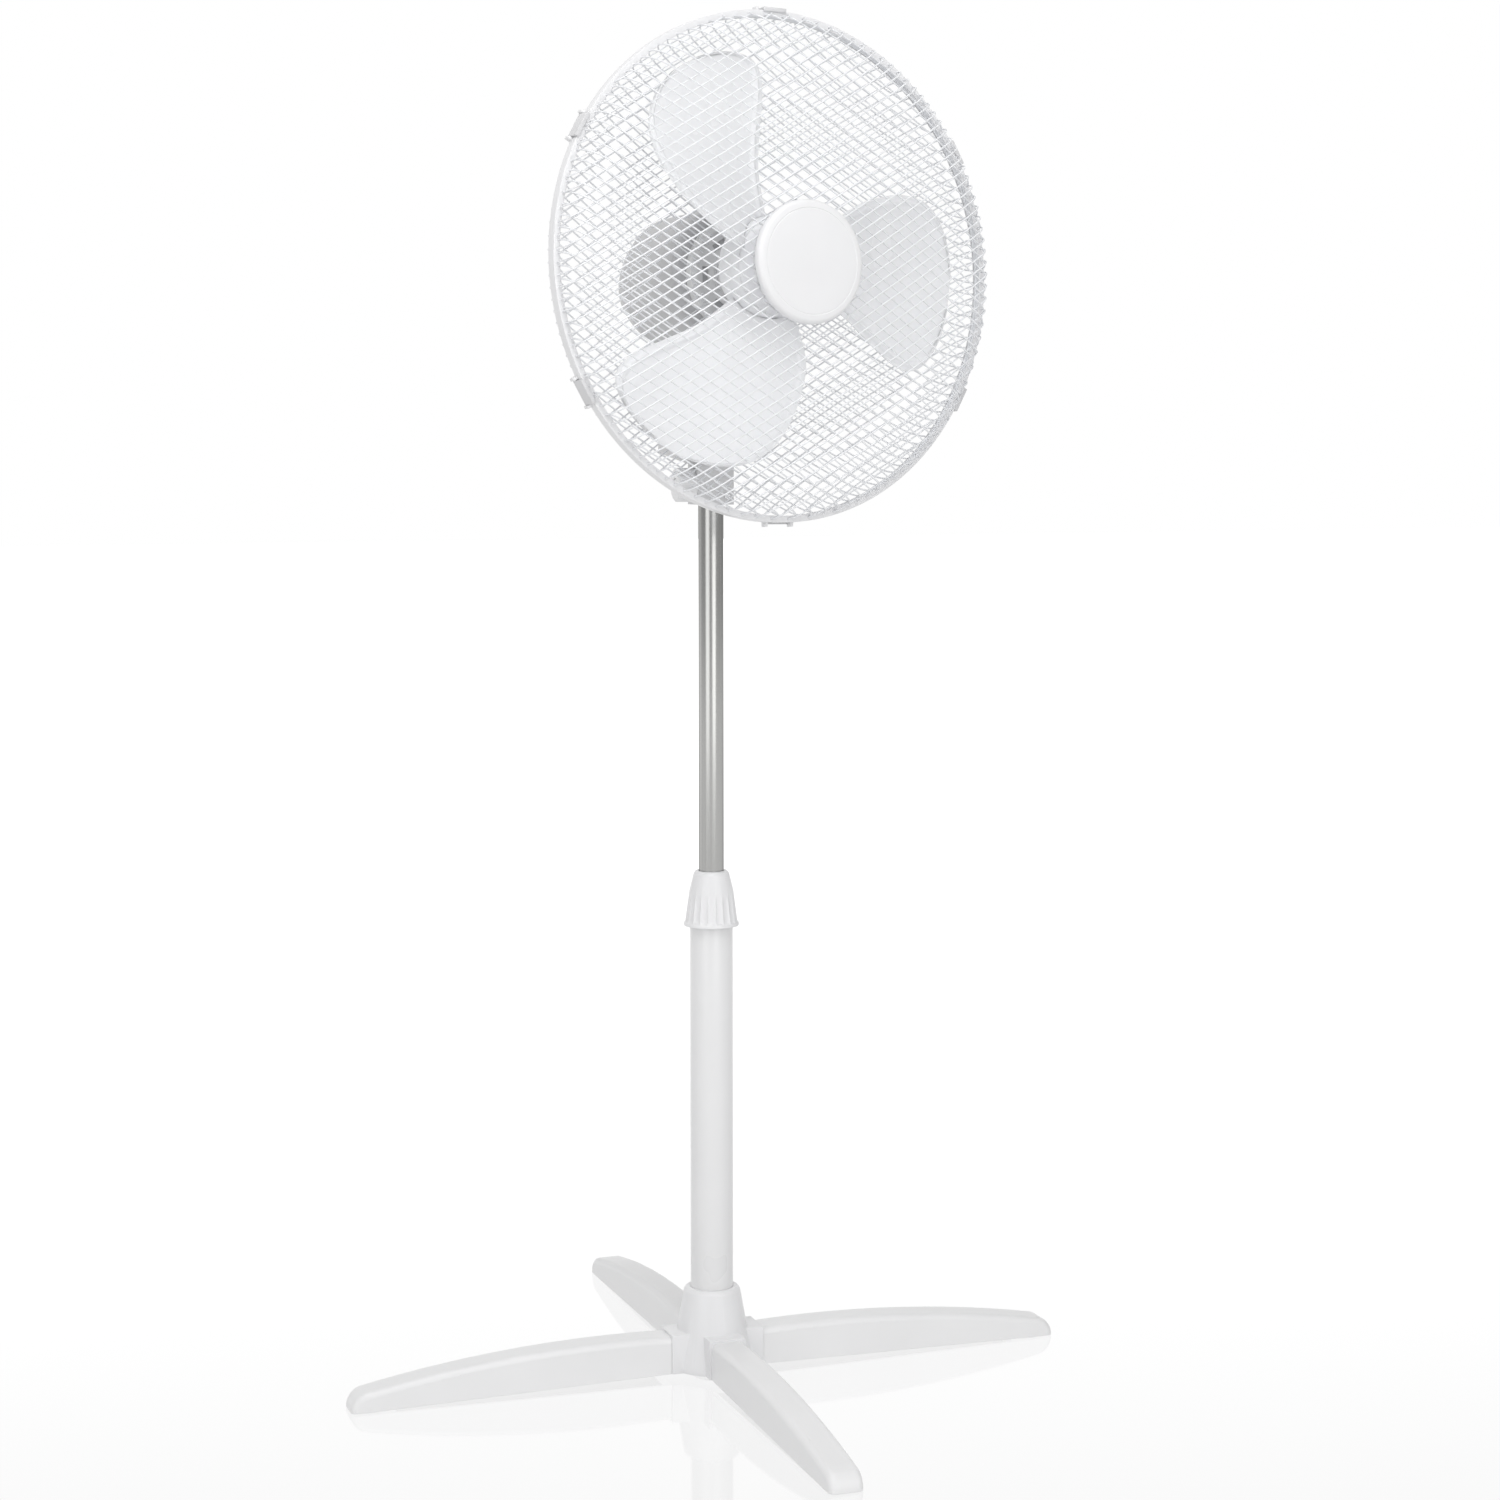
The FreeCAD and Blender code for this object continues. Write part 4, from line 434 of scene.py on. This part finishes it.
def wire_family_tree():
    """Parallel dome wires: each is a shallow arc with a shoulder arc at both ends."""
    tree, given, out = node_group("wire_family", "GeometryNodeTree", [
        ("Count", "NodeSocketInt", 46), ("Pitch", "NodeSocketFloat", 0.009), ("Reach", "NodeSocketFloat", 0.2),
        ("Rise", "NodeSocketFloat", 0.04), ("Shoulder", "NodeSocketFloat", 0.02),
        ("Hole", "NodeSocketFloat", 0.04),
        ("Wire", "NodeSocketFloat", 0.001), ("Side", "NodeSocketFloat", 1.0)],
        [("Geometry", "NodeSocketGeometry")])
    along = 65
    crown = 0.6
    line = add(tree, "GeometryNodeMeshLine", {"Count": calc(tree, "MULTIPLY", given["Count"], along)})
    index = add(tree, "GeometryNodeInputIndex").outputs[0]
    number = calc(tree, "FLOOR", calc(tree, "DIVIDE", calc(tree, "ADD", index, 0.5), along))
    step = calc(tree, "SUBTRACT", index, calc(tree, "MULTIPLY", number, along))
    share = calc(tree, "SUBTRACT", calc(tree, "MULTIPLY", step, 2 / (along - 1)), 1.0)
    middle = calc(tree, "MULTIPLY", calc(tree, "SUBTRACT", given["Count"], 1.0), 0.5)
    offset = calc(tree, "MULTIPLY", calc(tree, "SUBTRACT", number, middle), given["Pitch"])
    out_of = calc(tree, "DIVIDE", offset, given["Reach"])
    scale = calc(tree, "SQRT", calc(tree, "SUBTRACT", 1.0, calc(tree, "MULTIPLY", out_of, out_of)))
    half = calc(tree, "MULTIPLY", given["Reach"], scale)
    rise = calc(tree, "MULTIPLY", given["Rise"], scale)
    small = calc(tree, "MULTIPLY", given["Shoulder"], scale)
    flat = calc(tree, "SUBTRACT", half, small)
    squares = calc(tree, "ADD", calc(tree, "MULTIPLY", flat, flat), calc(tree, "MULTIPLY", rise, rise))
    squares = calc(tree, "SUBTRACT", squares, calc(tree, "MULTIPLY", small, small))
    large = calc(tree, "DIVIDE", squares, calc(tree, "MULTIPLY", calc(tree, "SUBTRACT", rise, small), 2.0))
    lean = calc(tree, "ARCTAN2", flat, calc(tree, "SUBTRACT", large, rise))
    away = calc(tree, "ABSOLUTE", share)
    side = calc(tree, "SIGN", share)
    bent = calc(tree, "GREATER_THAN", away, crown)

    def either(crown_value, shoulder_value):
        """The crown's value, or the shoulder's where the wire bends down."""
        gap = calc(tree, "SUBTRACT", shoulder_value, crown_value)
        return calc(tree, "ADD", crown_value, calc(tree, "MULTIPLY", bent, gap))

    down = calc(tree, "MULTIPLY", calc(tree, "SUBTRACT", away, crown), 1 / (1 - crown))
    quarter_left = calc(tree, "SUBTRACT", math.pi / 2, lean)
    angle = either(calc(tree, "MULTIPLY", lean, calc(tree, "DIVIDE", away, crown)),
                   calc(tree, "ADD", lean, calc(tree, "MULTIPLY", quarter_left, down)))
    radius = either(large, small)
    centre = either(calc(tree, "MULTIPLY", large, 0.0), flat)
    base = either(calc(tree, "SUBTRACT", rise, large), calc(tree, "MULTIPLY", large, 0.0))
    across = calc(tree, "ADD", centre, calc(tree, "MULTIPLY", radius, calc(tree, "SINE", angle)))
    height = calc(tree, "ADD", base, calc(tree, "MULTIPLY", radius, calc(tree, "COSINE", angle)))
    spot = add(tree, "ShaderNodeCombineXYZ", {
        "X": calc(tree, "MULTIPLY", across, side), "Y": calc(tree, "MULTIPLY", height, given["Side"]),
        "Z": offset})
    laid = add(tree, "GeometryNodeSetPosition", {"Geometry": line.outputs[0], "Position": spot.outputs[0]})
    ends = add(tree, "GeometryNodeInputMeshEdgeVertices")

    def wire_of(corner):
        return calc(tree, "FLOOR", calc(tree, "DIVIDE", calc(tree, "ADD", corner, 0.5), along))

    between = calc(tree, "ABSOLUTE", calc(tree, "SUBTRACT", wire_of(ends.outputs["Vertex Index 1"]),
                                          wire_of(ends.outputs["Vertex Index 2"])))
    here = add(tree, "ShaderNodeSeparateXYZ", {0: add(tree, "GeometryNodeInputPosition").outputs[0]}).outputs
    squared = calc(tree, "ADD", calc(tree, "MULTIPLY", here["X"], here["X"]),
                   calc(tree, "MULTIPLY", here["Z"], here["Z"]))
    inside = calc(tree, "LESS_THAN", calc(tree, "SQRT", squared), given["Hole"])
    unwanted = calc(tree, "GREATER_THAN", calc(tree, "ADD", between, inside), 0.5)
    cut = add(tree, "GeometryNodeDeleteGeometry", {"Geometry": laid.outputs[0], "Selection": unwanted},
              domain="EDGE", mode="EDGE_FACE")
    path = add(tree, "GeometryNodeMeshToCurve", {"Mesh": cut.outputs[0]})
    section = add(tree, "GeometryNodeCurvePrimitiveCircle", {"Resolution": 6, "Radius": given["Wire"]})
    tubes = add(tree, "GeometryNodeCurveToMesh", {"Curve": path.outputs[0], "Profile Curve": section.outputs[0],
                                                  "Fill Caps": True})
    tree.links.new(tubes.outputs[0], out["Geometry"])
    return tree


def wire_dome_tree(family):
    """Two crossing families of dome wires, one over the other, and the rim wire they end at."""
    tree, given, out = node_group("wire_dome", "GeometryNodeTree", [
        ("Count", "NodeSocketInt", 46), ("Pitch", "NodeSocketFloat", 0.009), ("Reach", "NodeSocketFloat", 0.2),
        ("Rise", "NodeSocketFloat", 0.04), ("Shoulder", "NodeSocketFloat", 0.02),
        ("Hole", "NodeSocketFloat", 0.04),
        ("Wire", "NodeSocketFloat", 0.001), ("Side", "NodeSocketFloat", 1.0), ("Slope", "NodeSocketFloat", 0.5),
        ("Layer Step", "NodeSocketFloat", 0.001), ("Base", "NodeSocketFloat", 0.0),
        ("Rim Wire", "NodeSocketFloat", 0.002), ("Rim Place", "NodeSocketFloat", 0.0),
        ("Material", "NodeSocketMaterial", None)],
        [("Geometry", "NodeSocketGeometry")])
    shell = add(tree, "GeometryNodeJoinGeometry")
    lift = add(tree, "ShaderNodeCombineXYZ", {"Y": given["Base"]}).outputs[0]
    for outward, slope in ((-0.5, 1.0), (0.5, -1.0)):
        shift = calc(tree, "MULTIPLY", given["Layer Step"], outward)
        wires = add(tree, "GeometryNodeGroup", {
            "Count": given["Count"], "Pitch": given["Pitch"], "Reach": calc(tree, "ADD", given["Reach"], shift),
            "Rise": calc(tree, "ADD", given["Rise"], shift), "Shoulder": given["Shoulder"], "Hole": given["Hole"],
            "Wire": given["Wire"], "Side": given["Side"]}, node_tree=family)
        lean = add(tree, "ShaderNodeCombineXYZ", {"Y": calc(tree, "MULTIPLY", given["Slope"], slope)}).outputs[0]
        turn = add(tree, "FunctionNodeEulerToRotation", {0: lean}).outputs[0]
        turned = add(tree, "GeometryNodeTransform", {"Geometry": wires.outputs[0], "Translation": lift,
                                                     "Rotation": turn})
        tree.links.new(turned.outputs[0], shell.inputs[0])
    ring = add(tree, "GeometryNodeCurvePrimitiveCircle", {"Resolution": 180, "Radius": given["Reach"]})
    upright = add(tree, "GeometryNodeTransform", {
        "Geometry": ring.outputs[0], "Rotation": (math.pi / 2, 0, 0),
        "Translation": add(tree, "ShaderNodeCombineXYZ", {"Y": given["Rim Place"]}).outputs[0]})
    section = add(tree, "GeometryNodeCurvePrimitiveCircle", {"Resolution": 12, "Radius": given["Rim Wire"]})
    rim = add(tree, "GeometryNodeCurveToMesh", {"Curve": upright.outputs[0], "Profile Curve": section.outputs[0]})
    tree.links.new(rim.outputs[0], shell.inputs[0])
    solid = add(tree, "GeometryNodeRealizeInstances", {"Geometry": shell.outputs[0]})
    coated = add(tree, "GeometryNodeSetMaterial", {"Geometry": solid.outputs[0], "Material": given["Material"]})
    tree.links.new(coated.outputs[0], out["Geometry"])
    return tree


def copies_round_tree():
    """Copies of a piece evenly round an axis through the origin, welded where they meet."""
    tree, given, out = node_group("copies_round", "GeometryNodeTree", [
        ("Geometry", "NodeSocketGeometry", None), ("Count", "NodeSocketInt", 3),
        ("Axis", "NodeSocketVector", (0, 1, 0)), ("Start", "NodeSocketFloat", 0.0),
        ("Material", "NodeSocketMaterial", None)],
        [("Geometry", "NodeSocketGeometry")])
    single = add(tree, "GeometryNodeGeometryToInstance", {0: given["Geometry"]})
    many = add(tree, "GeometryNodeDuplicateElements", {"Geometry": single.outputs[0], "Amount": given["Count"]},
               domain="INSTANCE")
    turn = calc(tree, "DIVIDE", calc(tree, "MULTIPLY", many.outputs["Duplicate Index"], math.tau), given["Count"])
    turn = calc(tree, "ADD", turn, given["Start"])
    about = add(tree, "ShaderNodeVectorMath", {0: given["Axis"], "Scale": turn}, operation="SCALE").outputs[0]
    rotation = add(tree, "FunctionNodeEulerToRotation", {0: about}).outputs[0]
    spread = add(tree, "GeometryNodeRotateInstances", {"Instances": many.outputs[0], "Rotation": rotation,
                                                       "Local Space": False})
    solid = add(tree, "GeometryNodeRealizeInstances", {"Geometry": spread.outputs[0]})
    welded = add(tree, "GeometryNodeMergeByDistance", {"Geometry": solid.outputs[0], "Distance": 2e-6})
    coated = add(tree, "GeometryNodeSetMaterial", {"Geometry": welded.outputs[0], "Material": given["Material"]})
    tree.links.new(coated.outputs[0], out["Geometry"])
    return tree


wire_dome = wire_dome_tree(wire_family_tree())
copies_round = copies_round_tree()


def copied_round(mesh, count, axis, node, start=0.0):
    """`count` copies of a mesh round an axis, in a CAD node's finish."""
    return grow("copies", copies_round, {"Count": count, "Axis": axis, "Start": start,
                                         "Material": FINISHES[slot_of[node]]}, mesh)


# ---------------------------------------------------------------- head: guards, rim and badge

rim_low, rim_high = span("rim_band")
RIM_PLANE = rim_low.y + RIM_HALF
RIM_REACH = reach_of("front_guard") - RIM_WIRE_RAD
RIM_BORE = RIM_REACH + RIM_WIRE_RAD + 0.1 * MM
RIM_RAD = RIM_BORE + RIM_WALL


def make_guard(node, side):
    """A wire dome on its rim wire: side -1 for the front guard, 1 for the rear."""
    near, far = span(node)
    base = RIM_PLANE + side * DOME_GAP
    crown = far.y if side > 0 else near.y
    rise = abs(crown - base) - WIRE_RAD - LAYER_STEP / 2
    count = 2 * int((RIM_REACH - 6 * WIRE_RAD) / WIRE_PITCH + 0.5)
    mesh = grow(node, wire_dome, {
        "Count": count, "Pitch": WIRE_PITCH, "Reach": RIM_REACH, "Rise": rise, "Shoulder": SHOULDER,
        "Hole": GUARD_HOLE, "Wire": WIRE_RAD, "Side": float(side), "Slope": WIRE_SLOPE, "Layer Step": LAYER_STEP,
        "Base": base, "Rim Wire": RIM_WIRE_RAD, "Rim Place": RIM_PLANE + side * (RIM_WIRE_RAD + 0.05 * MM),
        "Material": FINISHES["coated_wire"]})
    placed("wire_" + node, mesh, HEAD, node, sharp=70)


def make_rim():
    """The channel that grips both rim wires between two lips, with six pairs of lugs on its rear edge."""
    front, back = RIM_PLANE - RIM_HALF, RIM_PLANE + RIM_HALF
    ease = 0.55 * MM
    lip_rad = RIM_REACH - RIM_WIRE_RAD
    ring = lathed(eased([(lip_rad, front, 0.15 * MM), (RIM_RAD, front, ease), (RIM_RAD, back, ease),
                         (lip_rad, back, 0.15 * MM), (lip_rad, back - RIM_LIP), (RIM_BORE, back - RIM_LIP),
                         (RIM_BORE, front + RIM_LIP), (lip_rad, front + RIM_LIP)], 3), steps=240)
    clip_half = span("rim_clip_top")[1].x
    lug_wide = 2.5 * MM
    lug_back, lug_top = rim_high.y, rim_high.z
    lug = [(RIM_PLANE + 1 * MM, RIM_BORE + 0.2 * MM), (lug_back, RIM_BORE + 0.2 * MM), (lug_back, lug_top),
           (RIM_PLANE + 2 * MM, lug_top), (RIM_PLANE + 1 * MM, RIM_RAD)]
    lugs = []
    for start in (clip_half + 0.3 * MM, -clip_half - 0.3 * MM - lug_wide):
        points = [(start + wide, y, z) for wide in (0, lug_wide) for y, z in lug]
        count = len(lug)
        faces = [tuple(range(count)), tuple(range(2 * count - 1, count - 1, -1))]
        faces += [(step, (step + 1) % count, (step + 1) % count + count, step + count) for step in range(count)]
        lugs.append(bevelled(mesh_from(points, faces), 0.5 * MM))
    pairs = copied_round(joined(lugs), 6, (0, 1, 0), "rim_band")
    placed("rim_band_round", joined([ring, pairs]), HEAD, "rim_band")


def make_badge():
    """A domed disc with a rounded edge and a fine step round its face."""
    near, far = span("badge")
    rad = reach_of("badge")
    step_rad = rad - 7.5 * MM
    outline = eased([
        (0.0, near.y), (step_rad * 0.6, near.y + 0.25 * MM), (step_rad - 0.5 * MM, near.y + 0.9 * MM, 0.3 * MM),
        (step_rad, near.y + 1.3 * MM, 0.3 * MM), (step_rad + 0.6 * MM, near.y + 0.9 * MM, 0.3 * MM),
        (rad - 2.2 * MM, near.y + 1.6 * MM, 1.5 * MM), (rad, near.y + 4.2 * MM, 1.8 * MM), (rad, far.y, 0.4 * MM),
        (0.0, far.y)], 6)
    placed("plain_badge", lathed(outline, steps=160), HEAD, "badge")


make_guard("front_guard", -1)
make_guard("rear_guard", 1)
make_rim()
make_badge()


# ---------------------------------------------------------------- head: blades

LEADING = [(-31, 0.17), (-30, 0.42), (-33, 0.6), (-35, 0.75), (-35, 0.87), (-32, 0.95), (-25, 0.99), (-14, 1.0)]
TRAILING = [(36, 0.17), (34, 0.42), (29, 0.58), (24, 0.72), (19, 0.83), (13, 0.91), (5, 0.965), (-4, 0.995)]


def along_curve(points, share):
    """A point on the smooth curve through evenly spaced points, share 0 to 1."""
    last = len(points) - 1
    place = min(share * last, last - 1e-6)
    number = int(place)
    part = place - number
    picked = [Vector(points[min(max(number + step, 0), last)]) for step in (-1, 0, 1, 2)]
    before, start, end, after = picked
    return 0.5 * ((2 * start) + (end - before) * part + (2 * before - 5 * start + 4 * end - after) * part ** 2
                  + (3 * start - before - 3 * end + after) * part ** 3)


def blade_height(radius, across):
    """How far the blade's middle sheet lies behind the blade plane at a place on it."""
    inner, outer = BLADE_HUB_RAD - 10 * MM, BLADE_RAD + 8 * MM
    share = (radius - inner) / (outer - inner)
    pitch = ROOT_PITCH + (TIP_PITCH - ROOT_PITCH) * share
    half = (34 + 62 * share) * MM
    camber = (5 + 3 * share) * MM
    along = across / math.cos(pitch)
    for _ in range(4):
        out = camber * (1 - (along / half) ** 2) - camber / 2
        along = (across - out * math.sin(pitch)) / math.cos(pitch)
    return out * math.cos(pitch) - along * math.sin(pitch)


def bead(arc):
    """The raised line's profile, from 0 to 1, at a distance from a blade's edge."""
    return math.exp(-((abs(arc) - BEAD_INSET) / BEAD_HALF) ** 2)


def make_blades():
    """Three broad paddles with a raised line inside their edges, on a cupped hub."""
    rows, columns = 44, 80
    middle = RIM_PLANE - BLADE_PLANE_GAP
    points, faces = [], []
    for row in range(rows + 1):
        share = row / rows
        start = along_curve(LEADING, share)
        end = along_curve(TRAILING, share)
        for column in range(columns + 1):
            even = column / columns
            place = 0.4 * even + 0.3 * (1 - math.cos(math.pi * even))
            angle, reach = start.lerp(end, place)
            radius = reach * BLADE_RAD
            radius = max(radius, BLADE_HUB_RAD - 1.2 * MM)
            turn = math.radians(angle)
            x, z = radius * math.cos(turn), radius * math.sin(turn)
            y = blade_height(x, z)
            across = math.radians((end - start).x) * radius
            ridge = LEADING_BEAD * bead(place * across) + TRAILING_BEAD * bead((1 - place) * across)
            ridge *= min(share * 8, 1, (1 - share) * 8)
            points.append((x, y - ridge + middle, z))
    wide = columns + 1
    for row in range(rows):
        for column in range(columns):
            corner = row * wide + column
            faces.append((corner, corner + 1, corner + wide + 1, corner + wide))
    solid = with_modifier(mesh_from(points, faces), "SOLIDIFY", thickness=BLADE_THICK, offset=0.0)
    blade = bevelled(solid, 0.75 * MM, 3, 60)
    paddles = copied_round(blade, 3, (0, 1, 0), "fan_blade", -BLADE_START)
    front, back = middle - 12.92 * MM, middle + 21.08 * MM
    bore, rad, wall = 4.0 * MM, BLADE_HUB_RAD, 2.2 * MM
    cup = lathed(eased([
        (bore, front + 1 * MM), (rad * 0.6, front, 2 * MM), (rad * 0.9, front + 3.5 * MM, 3 * MM),
        (rad, front + 10 * MM, 5 * MM), (rad, back, 0.6 * MM), (rad - wall, back, 0.6 * MM),
        (rad - wall, front + 11 * MM, 3 * MM), (rad * 0.86, front + 4 * MM + wall),
        (bore + 6 * MM, front + 4 * MM),
        (bore + 6 * MM, back), (bore, back)], 5), steps=120)
    placed("blade_set", joined([paddles, cup]), HEAD, "fan_blade", sharp=40)


make_blades()


# ---------------------------------------------------------------- stand: height ring

def make_height_ring():
    """A skirt of wide shallow flutes between a thin lip and a plain cone."""
    bottom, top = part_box("height_ring")
    low, high = bottom[2], top[2]
    lip_rad = top[0]
    pole_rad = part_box("outer_tube")[1][0]
    mast_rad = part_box("inner_tube")[1][0]
    tall = high - low
    waist = low + tall * 0.62
    outside = [(lip_rad - 0.4 * MM, low, 0), (lip_rad, low + 0.4 * MM, 0), (lip_rad, low + 2.4 * MM, 0),
               (lip_rad - 0.4 * MM, low + 3 * MM, 0), (lip_rad - 1.0 * MM, low + 3.6 * MM, 0.4),
               (lip_rad - 1.3 * MM, low + 5 * MM, 1.0)]
    skirt = 8
    start, end = (lip_rad - 1.3 * MM, low + 5 * MM), (pole_rad + 0.75 * MM, waist)
    for step in range(1, skirt + 1):
        share = step / skirt
        fade = 1.0 if share < 0.75 else math.cos((share - 0.75) / 0.25 * math.pi / 2)
        outside.append((start[0] + (end[0] - start[0]) * share, start[1] + (end[1] - start[1]) * share,
                        fade * (1 - 0.45 * share)))
    outside += [(mast_rad + 5.4 * MM, high - 5 * MM, 0), (mast_rad + 4.6 * MM, high - 2.2 * MM, 0),
                (mast_rad + 3.4 * MM, high - 0.5 * MM, 0), (mast_rad + 2.4 * MM, high, 0)]
    inside = [(mast_rad + 0.3 * MM, high, 0), (mast_rad + 0.3 * MM, high - 4 * MM, 0),
              (mast_rad + 2.5 * MM, high - 5 * MM, 0), (pole_rad - 0.7 * MM, low + tall / 2, 0),
              (pole_rad + 0.3 * MM, low + tall / 2 - 1 * MM, 0), (pole_rad + 0.3 * MM, low, 0)]
    outline = outside + inside
    columns = 10
    wide = columns + 1
    points, faces = [], []
    for radius, z, groove in outline:
        for column in range(wide):
            place = column / columns * 2 - 1
            turn = place * math.pi / FLUTES
            valley = math.sqrt(max(0.0, 1 - (place / FLUTE_SHARE) ** 2))
            cut = radius - FLUTE_DEPTH * groove * valley
            points.append((cut * math.cos(turn), cut * math.sin(turn), z))
    rings = len(outline)
    for ring in range(rings):
        after = (ring + 1) % rings
        for column in range(columns):
            faces.append((ring * wide + column, ring * wide + column + 1,
                          after * wide + column + 1, after * wide + column))
    mesh = bpy.data.meshes.new("flute")
    mesh.from_pydata(points, [], faces)
    skirt_ring = copied_round(mesh, FLUTES, (0, 0, 1), "height_ring")
    work = bmesh.new()
    work.from_mesh(skirt_ring)
    bmesh.ops.recalc_face_normals(work, faces=work.faces)
    work.to_mesh(skirt_ring)
    work.free()
    placed("fluted_height_ring", skirt_ring, STAND, "height_ring", sharp=40)


def make_tubes():
    """The painted outer tube and the chromed inner tube, with their ends eased."""
    for node, wall in (("outer_tube", 1.5 * MM), ("inner_tube", 1.2 * MM)):
        lowest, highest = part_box(node)
        rad = highest[0]
        ease = 0.4 * MM
        outline = eased([(rad - wall, lowest[2], ease), (rad, lowest[2], ease), (rad, highest[2], ease),
                         (rad - wall, highest[2], ease)], 3)
        placed(node + "_drawn", lathed(outline, "Z", 96), STAND, node)


make_height_ring()
make_tubes()


# ---------------------------------------------------------------- CAD pieces with rounded edges

def soften(node, width):
    """The CAD piece with its triangles joined up and its hard edges rounded off."""
    work = bmesh.new()
    work.from_mesh(frame["nodes"][node].data)
    bmesh.ops.remove_doubles(work, verts=work.verts, dist=2e-6)
    bmesh.ops.dissolve_limit(work, angle_limit=math.radians(0.4), verts=work.verts, edges=work.edges)
    mesh = bpy.data.meshes.new(node)
    work.to_mesh(mesh)
    work.free()
    placed(node + "_eased", bevelled(mesh, width, 2, 35), STAND, node)


EASED_EDGES = {"box_front": 0.8, "box_rear": 0.8, "clamp_knob": 0.6, "base_hub": 0.7, "mast_head": 0.5,
               "motor_housing_front": 0.7, "motor_housing_rear": 0.7, "rear_guard_plate": 0.4,
               "oscillation_knob": 0.5, "button_off": 0.5, "button_low": 0.5, "button_medium": 0.5,
               "button_high": 0.5, "rim_clip_top": 0.4, "rim_clip_upper_left": 0.4, "rim_clip_lower_left": 0.4,
               "rim_clip_lower_right": 0.4, "rim_clip_upper_right": 0.4, "spinner_nut": 0.5, "cord_gland": 0.4}

for eased_node, edge in EASED_EDGES.items():
    soften(eased_node, edge * MM)


# ---------------------------------------------------------------- materials of the other CAD pieces

for node_name, solid in frame["nodes"].items():
    solid.data.materials.clear()
    solid.data.materials.append(finish_for(node_name))


# ---------------------------------------------------------------- camera, floor and light

def aim_camera():
    """A long lens at chest height, turned a little to the left of the stand's front."""
    data = bpy.data.cameras.new("view")
    data.sensor_width = 36
    data.lens = LENS
    camera = bpy.data.objects.new("view", data)
    bpy.context.scene.collection.objects.link(camera)
    camera.location = CAMERA_PLACE
    camera.rotation_euler = (math.pi / 2 - CAMERA_DIP, 0, -CAMERA_TURN)
    bpy.context.scene.camera = camera


def lay_floor():
    """A pale floor that glows as bright as the backdrop and mirrors the stand faintly."""
    half = 20
    mesh = bpy.data.meshes.new("studio_floor")
    mesh.from_pydata([(-half, -half, 0), (half, -half, 0), (half, half, 0), (-half, half, 0)], [], [(0, 1, 2, 3)])
    material = bpy.data.materials.new("pale_floor")
    material.use_nodes = True
    shader = material.node_tree.nodes["Principled BSDF"]
    shader.inputs["Base Color"].default_value = (0.02, 0.02, 0.02, 1)
    shader.inputs["Roughness"].default_value = 0.06
    shader.inputs["IOR"].default_value = 1.9
    shader.inputs["Emission Color"].default_value = (1, 1, 1, 1)
    shader.inputs["Emission Strength"].default_value = 0.73
    mesh.materials.append(material)
    floor = bpy.data.objects.new("studio_floor", mesh)
    bpy.context.scene.collection.objects.link(floor)
    return floor


def hang_softbox(name, place, aim, size, power, lit):
    """A square soft light at `place`, turned towards `aim`, on all but what `lit` excludes."""
    data = bpy.data.lights.new(name, "AREA")
    data.shape = "RECTANGLE"
    data.size, data.size_y = size
    data.energy = power
    lamp = bpy.data.objects.new(name, data)
    lamp.location = place
    lamp.rotation_euler = (Vector(aim) - Vector(place)).to_track_quat("-Z", "Y").to_euler()
    lamp.light_linking.receiver_collection = lit
    bpy.context.scene.collection.objects.link(lamp)


def light_backdrop():
    """A white studio that lights the stand most from behind and less from the sides and front."""
    world = bpy.data.worlds.new("white_studio")
    world.use_nodes = True
    tree = world.node_tree
    sky = add(tree, "ShaderNodeSeparateXYZ", {0: add(tree, "ShaderNodeTexCoord").outputs["Generated"]})
    level = add(tree, "ShaderNodeMapRange", {"Value": sky.outputs["Y"], "From Min": 0.35, "From Max": 0.86,
                                             "To Min": 0.42, "To Max": 1.0}, interpolation_type="SMOOTHSTEP")
    seen = add(tree, "ShaderNodeLightPath").outputs["Is Camera Ray"]
    strength = calc(tree, "MAXIMUM", level.outputs[0], seen)
    tree.links.new(strength, tree.nodes["Background"].inputs["Strength"])
    tree.nodes["Background"].inputs["Color"].default_value = (1, 1, 1, 1)
    bpy.context.scene.world = world
    bpy.context.scene.view_settings.view_transform = "Standard"


aim_camera()
studio_floor = lay_floor()
light_backdrop()
all_but_floor = bpy.data.collections.new("all_but_floor")
all_but_floor.objects.link(studio_floor)
all_but_floor.collection_objects[0].light_linking.link_state = "EXCLUDE"
hang_softbox("left_softbox", (-2.0, -1.66, 1.3), LIGHT_AIM, (1.6, 2.2), 14, all_but_floor)
hang_softbox("right_softbox", (0.42, -2.66, 1.3), LIGHT_AIM, (1.6, 2.2), 18, all_but_floor)
hang_softbox("top_softbox", (-0.4, -1.2, 2.9), LIGHT_AIM, (1.8, 1.8), 30, all_but_floor)
